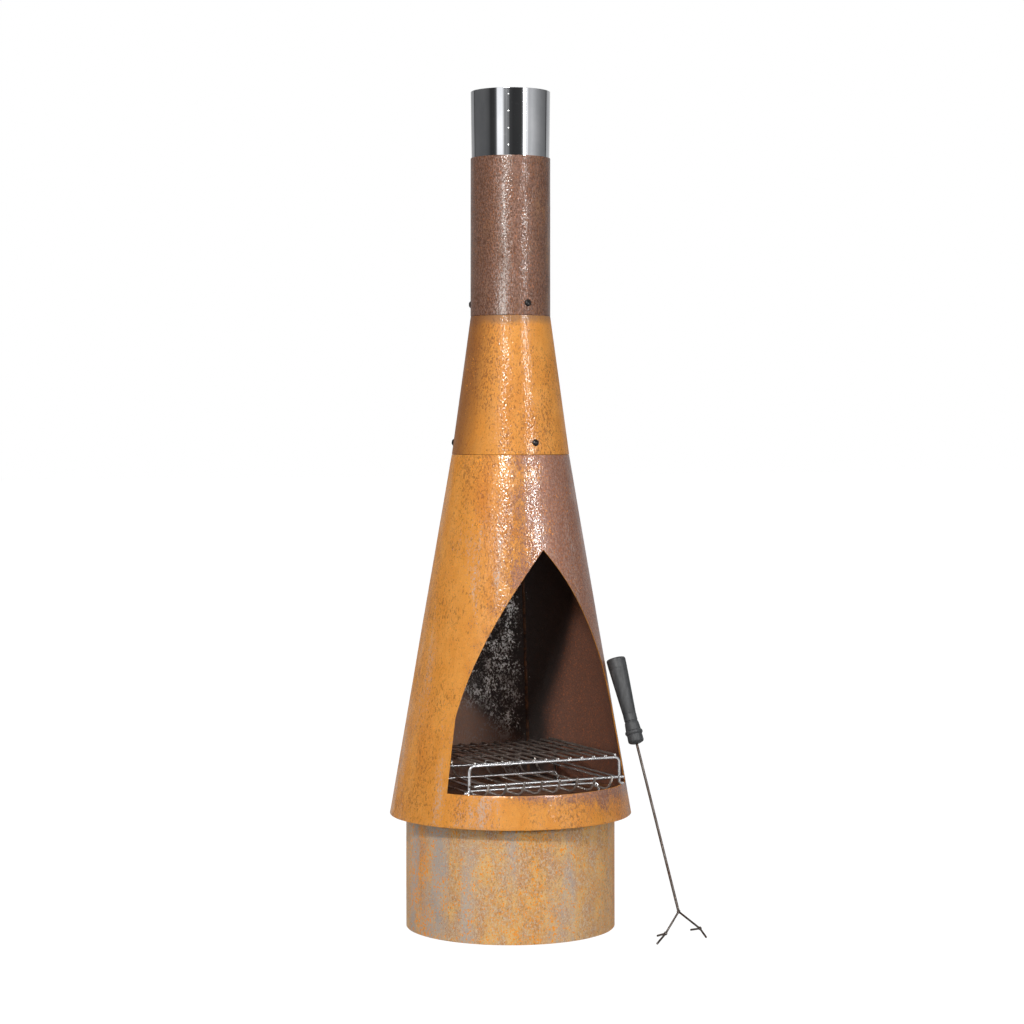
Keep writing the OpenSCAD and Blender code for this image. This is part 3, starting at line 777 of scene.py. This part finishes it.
def make_fire_house():
    """The cone is a grid of columns; those over the opening start at the arch's edge."""
    widest = math.degrees(math.asin(ARCH_HALF_W / shell_r(SILL_Z)))
    half_columns = 70
    back_columns = 190
    columns = []
    for i in range(-half_columns, half_columns + 1):
        share = abs(i) / half_columns
        outer = widest * share
        z = ARCH_TOP_Z if i == 0 else (SILL_Z if share == 1 else arch_height(outer))
        x = 0.0 if i == 0 else arch_half_width(z)
        inner = math.degrees(math.asin(min(x / (shell_r(z) - SHELL_T), 1)))
        sign = -1 if i < 0 else 1
        columns.append((sign * outer, sign * inner, z))
    gap = 360 - 2 * widest
    extra = columns[-1][1] - widest
    for i in range(1, back_columns):
        outer = widest + gap * i / back_columns
        fade = max(0, 1 - i / 6) - max(0, 1 - (back_columns - i) / 6)
        columns.append((outer, outer + extra * fade, SILL_Z))

    def wall(degrees, z, depth):
        push = ripple(degrees, z, 3.6, 0.5 * MM, 7) - 0.25 * MM
        push += ripple(degrees, z, 9.0, 0.12 * MM, 1)
        return at(degrees, shell_r(z) - depth + push, z)

    def rows(count, start, end, face):
        """Rows of a face, 0 outer or 1 inner, from start or else the arch's edge up to end."""
        out = []
        for k in range(count + 1):
            row = []
            for column in columns:
                foot = column[2] if start is None else start
                row.append(wall(column[face], along(k / count, foot, end), face * SHELL_T))
            out.append(row)
        return out

    crown_outer, crown_inner = [rows(70, None, SHELL_TOP_Z, face) for face in (0, 1)]
    skirt_outer, skirt_inner = [rows(10, SKIRT_Z, SILL_Z, face) for face in (0, 1)]
    shape = Shape()
    for outer, inner in ((crown_outer, crown_inner), (skirt_outer, skirt_inner)):
        shape.grid(outer, 0)
        shape.grid([row[::-1] for row in inner], 1)
    shape.grid([crown_inner[-1], crown_outer[-1]], 2)
    shape.grid([skirt_inner[0], skirt_outer[0]], 2)
    front = 2 * half_columns + 1
    shape.grid([crown_inner[0][:front], crown_outer[0][:front]], 2, closed=False)
    shape.grid([skirt_inner[-1][:front], skirt_outer[-1][:front]], 2, closed=False)
    obj = shape.piece("fire_house_sheet", "shell", [SHELL_OUT, SOOT_AND_SHADE, CUT_EDGE], ["firebox_shell"])
    soften_edges(obj, 0.3 * MM)


def soften_edges(obj, width):
    """Rounds the edges between faces of different materials."""
    made = bmesh.new()
    made.from_mesh(obj.data)
    rims = []
    for edge in made.edges:
        if len(edge.link_faces) == 2:
            a, b = edge.link_faces
            if a.material_index != b.material_index and a.normal.angle(b.normal, 0) > 0.6:
                rims.append(edge)
    bmesh.ops.bevel(made, geom=rims, offset=width, segments=2, affect="EDGES", profile=0.5,
                    clamp_overlap=True, material=2)
    made.to_mesh(obj.data)
    made.free()
    obj.data.shade_smooth()
    obj.data.set_sharp_from_angle(angle=math.radians(50))


# ---- chimney

def make_chimney():
    def wave(size, seed):
        return lambda degrees, z: ripple(degrees, z, size, 0.25 * MM, seed) - 0.12 * MM
    cone = [(CONE_R, CONE_Z), (PIPE_R, CONE_TOP_Z)]
    cone += [(r - CONE_T, z) for r, z in cone[::-1]]
    tube_sheet("chimney_cone_sheet", cone, 224, wave(2.6, 11), [CONE_OUT, PIPE_IN],
               lambda z: cone_r(z) - CONE_T * 0.6, "shell", "chimney_cone")
    pipe = [(PIPE_R, PIPE_Z), (PIPE_R, PIPE_TOP_Z)]
    pipe += [(r - PIPE_T, z) for r, z in pipe[::-1]]
    tube_sheet("flue_pipe_sheet", pipe, 224, wave(2.4, 13), [PIPE_OUT, PIPE_IN],
               lambda z: PIPE_R - PIPE_T * 0.6, "shell", "flue_pipe")


def make_collars():
    """The two sleeves inside the chimney's joints."""
    low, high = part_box("lower_collar")
    points = [(shell_r(low.z), low.z), (CONE_R, (SHELL_TOP_Z + CONE_Z) / 2), (cone_r(high.z), high.z)]
    points = [(r - SHELL_T, z) for r, z in points]
    points += [(r - COLLAR_T, z) for r, z in points[::-1]]
    tube_sheet("lower_sleeve", points, 160, lambda d, z: -0.1 * MM, [DARK_STEEL, PIPE_IN],
               lambda z: min(shell_r(z), cone_r(z)) - SHELL_T - COLLAR_T * 0.6,
               "shell", "lower_collar")
    low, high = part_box("upper_collar")
    points = [(high.x, low.z), (high.x, high.z), (high.x - COLLAR_T, high.z), (high.x - COLLAR_T, low.z)]
    tube_sheet("upper_sleeve", points, 160, lambda d, z: 0, [DARK_STEEL, PIPE_IN],
               lambda z: high.x - COLLAR_T * 0.6, "shell", "upper_collar")


# ---- fasteners

SCREW_R = 3 * MM
HEAD_R = 5.2 * MM
HEAD_H = 3.2 * MM
SOCKET_R = 2.3 * MM
NUT_R = 5.7 * MM
NUT_H = 4.5 * MM
SCREW_RISE = 18 * MM
SCREW_LEN = 11 * MM
FLOOR_BOLT_LEN = 13 * MM
PITCH = 1 * MM
CORNER_TO_FLAT = math.cos(math.pi / 6)


def hexagon(flat, cap=math.inf):
    """The radius round a hexagon with its flats this far out and its corners cut at cap."""
    def radius(turn):
        sector = turn % (math.pi / 3) - math.pi / 6
        return min(flat / math.cos(sector), cap)
    return radius


def screw(shape, place, length):
    """A button head with a hexagon socket, and a threaded shank."""
    dome = (HEAD_R ** 2 + HEAD_H ** 2) / (2 * HEAD_H)
    tip = -length + 0.6 * MM
    lathe(shape, [(-length, 0.0), (-length, SCREW_R * 0.72), (tip, SCREW_R * 0.9)], place, 48)
    run = length - 0.8 * MM
    rows = int(run / (PITCH / 6))
    thread = []
    for i in range(rows + 1):
        height = tip + i * run / rows

        def radius(turn, height=height):
            phase = (height / PITCH - turn / (2 * math.pi)) % 1
            return SCREW_R * (0.86 + 0.14 * abs(2 * phase - 1))
        thread.append((height, radius))
    lathe(shape, thread, place, 36)
    head = [(0.0, SCREW_R * 0.8), (0.0, HEAD_R - 0.35 * MM), (0.12 * MM, HEAD_R - 0.1 * MM),
            (0.4 * MM, HEAD_R * 0.995)]
    rim_turn = math.asin(HEAD_R / dome)
    top_turn = math.asin((SOCKET_R + 0.35 * MM) / dome)
    for k in range(1, 11):
        turn = along(k / 10, rim_turn, top_turn)
        head.append((HEAD_H - dome + dome * math.cos(turn), dome * math.sin(turn)))
    lip = head[-1][0]
    flat = SOCKET_R * CORNER_TO_FLAT
    socket = hexagon(flat)
    head += [(lip - 0.12 * MM, hexagon(1.06 * flat)), (lip - 0.3 * MM, socket)]
    head += [(HEAD_H - 2.0 * MM, socket), (HEAD_H - 2.1 * MM, hexagon(0.9 * flat)), (HEAD_H - 2.5 * MM, 0.0)]
    lathe(shape, head, place, 48)


def nut(shape, place):
    """A hexagon nut with chamfered corners and a threaded bore."""
    flat = NUT_R * CORNER_TO_FLAT
    corner = hexagon(flat, NUT_R)
    chamfer = hexagon(flat, NUT_R * 0.93)
    up = [(0, flat * 0.94), (0.3 * MM, chamfer), (0.75 * MM, corner)]
    bore = [(NUT_H, SCREW_R * 1.12), (NUT_H - 0.4 * MM, SCREW_R * 1.02), (0.4 * MM, SCREW_R * 1.02),
            (0, SCREW_R * 1.12), (0, flat * 0.94)]
    lathe(shape, up + [(NUT_H - height, radius) for height, radius in up[::-1]] + bore, place, 72)


def make_chimney_screws():
    lean = math.atan((CONE_R - PIPE_R) / (CONE_TOP_Z - CONE_Z))
    lower_z = (SHELL_TOP_Z + CONE_Z) / 2 + SCREW_RISE
    upper_z = (CONE_TOP_Z + PIPE_Z) / 2 + SCREW_RISE
    plans = [
        ("lower_joint", lower_z, cone_r(lower_z), lean, SHELL_T + COLLAR_T + NUT_H + 0.1 * MM),
        ("upper_joint", upper_z, PIPE_R, 0.0, 2 * COLLAR_T + NUT_H + 0.2 * MM),
    ]
    for name, z, wall_r, tilt, depth in plans:
        screws = Shape()
        nuts = Shape()
        for i in range(3):
            way = at(120 * i, math.cos(tilt), math.sin(tilt))
            foot = at(120 * i, wall_r, z)
            spin = Matrix.Rotation(math.radians(13 + 37 * i), 4, "Z")
            screw(screws, facing(foot, way) @ spin, SCREW_LEN)
            nut(nuts, facing(foot - way * depth, way) @ spin)
        screws.piece(name + "_button_screws", "shell", [BLACK], [name + "_screws"])
        nuts.piece(name + "_hex_nuts", "shell", [BLACK], [name + "_nuts"])


def make_floor_bolts():
    bolts = Shape()
    nuts = Shape()
    for i in range(4):
        degrees = 90 * i + 110
        spin = Matrix.Rotation(math.radians(8 + 51 * i), 4, "Z")
        spot = at(degrees, BOLT_REACH, FLOOR_TOP)
        screw(bolts, Matrix.Translation(spot) @ spin, FLOOR_BOLT_LEN)
        spot.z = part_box("floor_nuts")[0].z
        nut(nuts, Matrix.Translation(spot) @ spin)
    bolts.piece("floor_button_bolts", "shell", [BLACK], ["floor_bolts"])
    nuts.piece("floor_hex_nuts", "shell", [BLACK], ["floor_nuts"])


# ---- outlet ring

SPOT_DISH = mm([(-0.3, 1.3), (0.05, 1.27), (0.22, 1.0), (0.24, 0.8), (0.08, 0.55), (0.02, 0.3), (0, 0)])


def make_outlet_ring():
    profile = [(ring_r(RING_Z), RING_Z), (RING_R, RING_TOP_Z)]
    profile += [(r - RING_T, z) for r, z in profile[::-1]]

    def wave(degrees, z):
        lap = math.exp(-((degrees - 360 - RING_SEAM) / 0.35) ** 2)
        return ripple(degrees, z * 0.4, 2.2, 0.10 * MM, 17) - 0.10 * MM - 0.05 * MM * lap
    tube_sheet("outlet_ring_sheet", profile, 720, wave, [MIRROR, MIRROR], lambda z: 0, "outlet_ring",
               "outlet_ring", edge=0.2 * MM, longest=8 * MM)
    lap = Shape()
    foot = PIPE_TOP_Z + 1 * MM
    top = RING_TOP_Z - 0.2 * MM
    outline = dense(rounded([(0, foot), (0, top), (RING_T, top), (RING_T, foot)], 0.15 * MM, 2), 10 * MM)
    rows = []
    for k in range(13):
        degrees = RING_SEAM - 4.5 + 9 * k / 12
        rows.append([at(degrees, ring_r(z) - RING_T - 0.12 * MM - depth, z) for depth, z in outline])
    lap.grid(rows)
    lap.caps(rows)
    lap.piece("ring_lap", "outlet_ring", [MIRROR], ["ring_lap_strip"])
    spots = Shape()
    low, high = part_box("ring_spot_welds")
    for i in range(4):
        z = along(i / 3, low.z + 1.9 * MM, high.z - 1.9 * MM)
        place = facing(at(RING_SEAM, ring_r(z) - 0.1 * MM, z), at(RING_SEAM, 1, 0))
        lathe(spots, SPOT_DISH, place, 24)
    spots.piece("ring_weld_spots", "outlet_ring", [SPOT], ["ring_spot_welds"])


# ---- cooking grid

FRAME_WIRE = 2 * MM
GRID_WIRE_R = 1.5 * MM
LOG_WIRE_R = 1.8 * MM


def wires(name, body, metal, node, runs):
    """A piece of wires with bright cut ends; runs are their paths and radii."""
    shape = Shape()
    for path, radius in runs:
        wire(shape, path, radius, 20 if radius == FRAME_WIRE else 16, tip=1)
    shape.piece(name, body, [metal, CUT_WIRE], [node])


def staple_points(y, half_w, top_z, foot_z, toe=0.0):
    ends = [(-half_w, y, foot_z)]
    if toe:
        ends = [(-half_w - toe, y, foot_z)] + ends
    right = [(-x, y, z) for x, y, z in ends[::-1]]
    return ends + [(-half_w, y, top_z), (half_w, y, top_z)] + right


def spaced(low, high, radius, count):
    """Even places across a box for wires of this radius, and their pitch."""
    pitch = (high.x - low.x - 2 * radius) / (count - 1)
    return [(i - (count - 1) / 2) * pitch for i in range(count)], pitch


def make_cooking_grid():
    low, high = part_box("grid_front_frame")
    front_y = (low.y + high.y) / 2
    bar_z = high.z - FRAME_WIRE
    back_low, back_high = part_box("grid_rear_frame")
    back_y = (back_low.y + back_high.y) / 2
    half_w = back_high.x - FRAME_WIRE

    points = staple_points(front_y, half_w, bar_z, low.z + FRAME_WIRE, high.x - half_w)
    path = bent(points, [4 * MM, 8 * MM, 8 * MM, 4 * MM])
    wires("grid_front_wire", "cooking_grid", BRIGHT_WIRE, "grid_front_frame",
          [(path, FRAME_WIRE)])
    # The rear staple takes the darker wire: soot and painted shade.
    path = bent(staple_points(back_y, half_w, bar_z, back_low.z), [8 * MM, 8 * MM])
    wires("grid_rear_wire", "cooking_grid", SHADED_SOOTY_WIRE, "grid_rear_frame",
          [(path, FRAME_WIRE)])

    low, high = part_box("grid_side_rails")
    rail_x = high.x - FRAME_WIRE
    z = (low.z + high.z) / 2
    wires("grid_side_wires", "cooking_grid", GRID_WIRE, "grid_side_rails",
          [([(x, low.y, z), (x, high.y, z)], FRAME_WIRE) for x in (-rail_x, rail_x)])

    # The cross bars under the thin wires take the darker wire: soot and painted shade.
    low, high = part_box("grid_cross_bars")
    cross_ys = [low.y + FRAME_WIRE, high.y - FRAME_WIRE]
    wires("grid_cross_wires", "cooking_grid", SHADED_SOOTY_WIRE, "grid_cross_bars",
          [([(low.x, y, bar_z), (high.x, y, bar_z)], FRAME_WIRE) for y in cross_ys])

    low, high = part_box("grid_wires")
    xs, pitch = spaced(low, high, GRID_WIRE_R, 11)
    z = high.z - GRID_WIRE_R
    touch_z = z - GRID_WIRE_R
    rear_y = high.y - GRID_WIRE_R
    paths = [bent([(x, low.y, z), (x, rear_y, z), (x, rear_y, low.z)], [3 * MM]) for x in xs]
    wires("grid_thin_wires", "cooking_grid", GRID_WIRE, "grid_wires",
          [(path, GRID_WIRE_R) for path in paths])

    low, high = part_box("grid_lower_rails")
    z = (low.z + high.z) / 2
    lower_y = [low.y + FRAME_WIRE, high.y - FRAME_WIRE]
    tie_xs = [side * x for side in (-1, 1) for x in (half_w - FRAME_WIRE - GRID_WIRE_R, 5 * pitch)]
    runs = [([(-half_w + 5 * MM, lower_y[0], z), (high.x, lower_y[0], z)], FRAME_WIRE),
            ([(low.x, lower_y[1], z), (-low.x, lower_y[1], z)], FRAME_WIRE)]
    runs += [([(x, lower_y[0], z), (x, lower_y[1], z)], GRID_WIRE_R) for x in tie_xs]
    wires("grid_lower_wires", "cooking_grid", BRIGHT_WIRE, "grid_lower_rails", runs)

    welds = Shape()
    bright = Shape()
    seed = 1
    # The front bar's welds are near white: weld steel and painted highlights.
    for x in xs:
        blob(bright, (x, front_y - 0.5 * MM, touch_z + 0.5 * MM), (2.1 * MM, 2.0 * MM, 1.7 * MM), seed)
        seed += 1
    for y in [*cross_ys, back_y]:
        for x in xs:
            blob(welds, (x, y, touch_z), (1.1 * MM, 1.3 * MM, 0.3 * MM), seed)
            seed += 1
    for y in [front_y, *cross_ys, back_y]:
        for x in (-rail_x, rail_x):
            blob(welds, (x, y, touch_z), (1.9 * MM, 1.9 * MM, 0.8 * MM), seed)
            seed += 1
    for y, staple in zip(lower_y, (front_y, back_y)):
        for ties in (tie_xs[:2], tie_xs[2:]):
            foot_x = math.copysign(half_w, ties[0])
            blob(welds, (foot_x, (y + staple) / 2, z), (1.9 * MM, 0.8 * MM, 1.9 * MM), seed)
            for x in ties:
                blob(welds, (x, y, z), (2.1 * MM, 2.3 * MM, 2.1 * MM), seed + 1)
            seed += 2
    # The welds under the grid take the darker wire: soot and painted shade.
    welds.piece("grid_spot_welds", "cooking_grid", [SHADED_SOOTY_WIRE])
    bright.piece("grid_front_welds", "cooking_grid", [SPOT])


# ---- log grate

CRADLE_ENDS = [(-1, -112 * MM), (1, 96 * MM)]
CRADLE_BEND = 26 * MM
CRADLE_TURN = math.radians(80)
LOG_BAR_YS = [-79 * MM, 58 * MM]
LOG_BAR_LEAN = math.radians(25)


def make_log_grate():
    low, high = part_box("log_grate_wires")
    z = low.z + LOG_WIRE_R
    xs = spaced(low, high, LOG_WIRE_R, 8)[0]
    curl = [CRADLE_TURN * k / 12 for k in range(13)]
    runs = []
    for x in xs:
        path = []
        for side, y in CRADLE_ENDS:
            for angle in curl[::side]:
                rise = CRADLE_BEND * (1 - math.cos(angle))
                path.append((x, y + side * CRADLE_BEND * math.sin(angle), z + rise))
        runs.append((path, LOG_WIRE_R))
    wires("log_cradle_wires", "log_grate", LOG_WIRE, "log_grate_wires", runs)

    low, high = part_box("log_grate_bars")
    top = high.z - FRAME_WIRE
    half = high.x - FRAME_WIRE
    drop = (top - low.z - FRAME_WIRE * math.sin(LOG_BAR_LEAN)) / math.cos(LOG_BAR_LEAN)
    runs = []
    for y in LOG_BAR_YS:
        foot = (y - drop * math.sin(LOG_BAR_LEAN), top - drop * math.cos(LOG_BAR_LEAN))
        points = [(-half, *foot), (-half, y, top), (half, y, top), (half, *foot)]
        runs.append((bent(points, [5 * MM, 5 * MM]), FRAME_WIRE))
    wires("log_bar_wires", "log_grate", BRIGHT_WIRE, "log_grate_bars", runs)

    welds = Shape()
    for j, y in enumerate(LOG_BAR_YS):
        for i, x in enumerate(xs):
            size = (1.3 * MM, 1.5 * MM, 0.45 * MM)
            blob(welds, (x, y, z + LOG_WIRE_R), size, 200 + j * len(xs) + i)
    welds.piece("log_spot_welds", "log_grate", [LOG_WIRE])


# ---- poker

POKER_TOP = Vector((142.5, -68, 399)) * MM
POKER_JOINT = Vector((178.5, -196, 40)) * MM
POKER_WAY = (POKER_TOP - POKER_JOINT).normalized()
POKER_LEN = (POKER_TOP - POKER_JOINT).length
GRIP_LEN = 132 * MM
COLLAR_LEN = 14 * MM
ROD_R = 2 * MM
TINE_R = 1.5 * MM
KNEES = [Vector((152, -206, 10)) * MM, Vector((215, -196, 10)) * MM]
PRONG_TIPS = [[(125, -229), (153, -179)], [(212, -220), (219, -162)]]
COLLAR_TURNING = mm([
    (0, 2), (0, 5.6), (0.3, 6.4), (1.4, 9.4), (2.4, 10.9), (4.4, 11.75), (8, 11.7), (13.4, 11.45),
    (14, 11), (14, 2)])
GRIP_TURNING = mm([
    (0, 2), (0, 11.4), (0.5, 12), (1.6, 12.9), (3.4, 13.35), (5.4, 12.8), (6.6, 11.7), (7.4, 11.3),
    (9, 11.35), (17, 10.6), (19, 10), (19.9, 9.5), (20.7, 9.55), (21.8, 10.005), (31, 10.005),
    (32, 9.555), (33, 10.025), (60, 11.655), (99.6, 13.85), (100.8, 13.3), (101.8, 14), (110, 14.35),
    (115, 14.48), (117, 13.7), (118, 11.5), (118, 7.25), (118, 0)])


def smooth_profile(stations, steps=5):
    """Eases between (height, radius) stations so that the turning has no hard corners."""
    out = []
    for i in range(len(stations) - 1):
        before = stations[max(i - 1, 0)]
        a = stations[i]
        b = stations[i + 1]
        after = stations[min(i + 2, len(stations) - 1)]
        for k in range(steps):
            t = k / steps
            point = []
            for n in (0, 1):
                m0 = (b[n] - before[n]) * 0.28
                m1 = (after[n] - a[n]) * 0.28
                point.append((2 * t ** 3 - 3 * t ** 2 + 1) * a[n] + (t ** 3 - 2 * t ** 2 + t) * m0
                             + (-2 * t ** 3 + 3 * t ** 2) * b[n] + (t ** 3 - t ** 2) * m1)
            out.append(tuple(point))
    out.append(stations[-1])
    return out


def make_poker():
    rod = Shape()
    wire(rod, [POKER_JOINT, POKER_JOINT + POKER_WAY * (POKER_LEN - 40 * MM)], ROD_R, 24)
    rod.piece("poker_rod_wire", "poker", [POKER], ["poker_rod"])

    grip = Shape()
    base = POKER_LEN - (GRIP_LEN - COLLAR_LEN)
    lathe(grip, smooth_profile(GRIP_TURNING), facing(POKER_JOINT + POKER_WAY * base, POKER_WAY), 72)
    grip.piece("poker_grip_turned", "poker", [GRIP], ["poker_grip"], sharp=60)

    collar = Shape()
    place = facing(POKER_TOP - POKER_WAY * GRIP_LEN, POKER_WAY)
    lathe(collar, smooth_profile(COLLAR_TURNING), place, 72)
    collar.piece("poker_grip_collar", "poker", [GRIP], ["poker_collar"], sharp=60)

    top = POKER_JOINT - POKER_WAY * 2.2 * MM
    tines = Shape()
    prongs = Shape()
    for knee, tips in zip(KNEES, PRONG_TIPS):
        wire(tines, [top, knee], TINE_R, 18)
        for x, y in tips:
            wire(prongs, [knee, (x * MM, y * MM, TINE_R)], TINE_R, 18, chamfer=0.45)
    tines.piece("poker_fork_tines", "poker", [POKER], ["poker_tines"])
    prongs.piece("poker_fork_prongs", "poker", [POKER], ["poker_prongs"])
    welds = Shape()
    for number, spot in enumerate([top, *KNEES]):
        blob(welds, spot, (2.6 * MM, 2.5 * MM, 2.7 * MM), 300 + number, lumps=0.3, rings=12, sides=18)
    welds.piece("poker_fork_welds", "poker", [POKER], ["poker_welds"])


# ---- studio

VIEW_SIDE = -25.5
WHITE = (1, 1, 1, 1)
WALLS = [
    (-180, 0.3), (-160, 0.45), (-144, 0.4), (-134, 0.36), (-133, 0.03), (-130, 0.03), (-129, 0.155),
    (-112, 0.17), (-80, 0.16), (-68, 0.12), (-60, 0.05), (-48, 0.06), (-42, 0.2), (-38, 1.6), (-24, 1.6),
    (-17, 0.31), (-8, 0.40), (-3, 0.08), (8, 0.05), (33, 0.06), (38, 0.9), (50, 1.5), (54, 0.75),
    (66, 0.8), (84, 0.5), (100, 0.32), (125, 0.2), (127, 0.03), (130, 0.03), (132, 0.5), (160, 0.7),
    (180, 0.4)]


def area_light(name, degrees, distance, height, size, power, colour=(1, 1, 1), aim=0.6,
               glossy=True, diffuse=True):
    data = bpy.data.lights.new(name, "AREA")
    data.shape = "RECTANGLE"
    data.size, data.size_y = size
    data.energy = power
    data.color = colour
    obj = link(name, data)
    obj.location = at(degrees, distance, height)
    way = Vector((0, 0, aim)) - obj.location
    obj.rotation_mode = "QUATERNION"
    obj.rotation_quaternion = way.to_track_quat("-Z", "Y")
    obj.visible_camera = False
    obj.visible_glossy = glossy
    obj.visible_diffuse = diffuse


def make_lights():
    warm = (1.0, 0.985, 0.96)
    area_light("high_key", VIEW_SIDE - 14, 2.8, 2.1, (0.5, 0.2), 51, warm)
    area_light("key_sparkle", VIEW_SIDE - 12, 2.8, 1.95, (0.3, 0.25), 70, warm, diffuse=False)
    area_light("right_sparkle", VIEW_SIDE + 41, 3.0, 1.65, (0.2, 0.8), 70, aim=0.9, diffuse=False)
    area_light("right_low", VIEW_SIDE + 50, 3.0, 0.9, (0.4, 0.4), 22, glossy=False)
    area_light("left_low", VIEW_SIDE - 27, 3.0, 0.78, (0.25, 0.25), 15, warm, glossy=False)
    area_light("left_side", VIEW_SIDE - 90, 3.0, 1.4, (1.4, 1.0), 15, glossy=False)
    area_light("overhead", VIEW_SIDE, 0.5, 3.4, (1.6, 1.6), 8)


def make_world():
    """White behind the object; dim, graded walls for light and reflections.

    WALLS has a brightness at each angle from the camera's side, positive to its right.
    """
    world = bpy.data.worlds.new("studio")
    world.use_nodes = True
    bpy.context.scene.world = world
    world.node_tree.nodes.clear()
    n = Nodes(world.node_tree)
    place = n.node("ShaderNodeTexCoord").outputs["Generated"]
    turned = n.node("ShaderNodeMapping", {"Vector": place, "Rotation": (0, 0, math.radians(-VIEW_SIDE))},
                    vector_type="VECTOR")
    split = n.node("ShaderNodeSeparateXYZ", {0: turned.outputs["Vector"]})
    angle = n.math("ARCTAN2", split.outputs["X"], n.math("MULTIPLY", split.outputs["Y"], -1))
    share = n.node("ShaderNodeMapRange", {"Value": angle, "From Min": -math.pi, "From Max": math.pi})
    ramp = n.node("ShaderNodeValToRGB", {"Fac": share.outputs["Result"]})
    elements = ramp.color_ramp.elements
    while len(elements) < len(WALLS):
        elements.new(0.5)
    for element, (degrees, level) in zip(elements, WALLS):
        element.position = (degrees + 180) / 360
        element.color = (level, level, level, 1)
    graded = n.node("ShaderNodeBackground", {"Color": ramp.outputs["Color"]}).outputs[0]
    white = n.node("ShaderNodeBackground", {"Color": WHITE}).outputs[0]
    seen = n.node("ShaderNodeLightPath").outputs["Is Camera Ray"]
    choose = n.node("ShaderNodeMixShader", {0: seen, 1: graded, 2: white})
    n.node("ShaderNodeOutputWorld", {"Surface": choose.outputs[0]})


def make_floor():
    """A wide pale floor, near white to the camera with a faint contact shadow."""
    mesh = bpy.data.meshes.new("floor")
    half = 30
    mesh.from_pydata([(-half, -half, 0), (half, -half, 0), (half, half, 0), (-half, half, 0)], [],
                     [[0, 1, 2, 3]])
    floor = link("floor", mesh)
    floor.location.z = -0.2 * MM
    material = bpy.data.materials.new("floor_pale")
    material.use_nodes = True
    n = Nodes(material.node_tree)
    bsdf = n.tree.nodes["Principled BSDF"]
    bsdf.inputs["Roughness"].default_value = 0.9
    bsdf.inputs["Specular IOR Level"].default_value = 0.1
    ray = n.node("ShaderNodeLightPath").outputs
    tone = n.mix(ray["Is Diffuse Ray"], (0.6, 0.6, 0.6, 1), (0.22, 0.22, 0.22, 1))
    n.put(tone, bsdf.inputs["Base Color"])
    glow = n.node("ShaderNodeEmission", {"Color": WHITE, "Strength": 1.14})
    shine = n.math("MULTIPLY", ray["Is Glossy Ray"], 0.25)
    part = n.math("MULTIPLY_ADD", ray["Is Camera Ray"], 0.86, shine)
    mix = n.node("ShaderNodeMixShader", {0: part, 1: bsdf.outputs[0], 2: glow.outputs[0]})
    n.put(mix.outputs[0], n.tree.nodes["Material Output"].inputs["Surface"])
    mesh.materials.append(material)


def make_camera():
    data = bpy.data.cameras.new("camera")
    data.sensor_width = 36
    data.lens = 88.4
    data.shift_x = 0.0015
    data.shift_y = -0.085
    data.clip_end = 100
    camera = link("camera", data)
    camera.location = at(VIEW_SIDE, 3.78, 0.75)
    camera.rotation_euler = (math.radians(90), 0, math.radians(VIEW_SIDE))
    bpy.context.scene.camera = camera


# ---- build

make_drum()
make_fire_floor()
make_seam_welds()
make_fire_house()
make_chimney()
make_collars()
make_chimney_screws()
make_floor_bolts()
make_outlet_ring()
make_cooking_grid()
make_log_grate()
make_poker()
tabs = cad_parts["drum_tabs"]
tabs.data.materials.clear()
tabs.data.materials.append(DARK_STEEL)
make_lights()
make_world()
make_floor()
make_camera()
bpy.context.scene.view_settings.view_transform = "Standard"
bpy.context.scene.view_settings.look = "None"
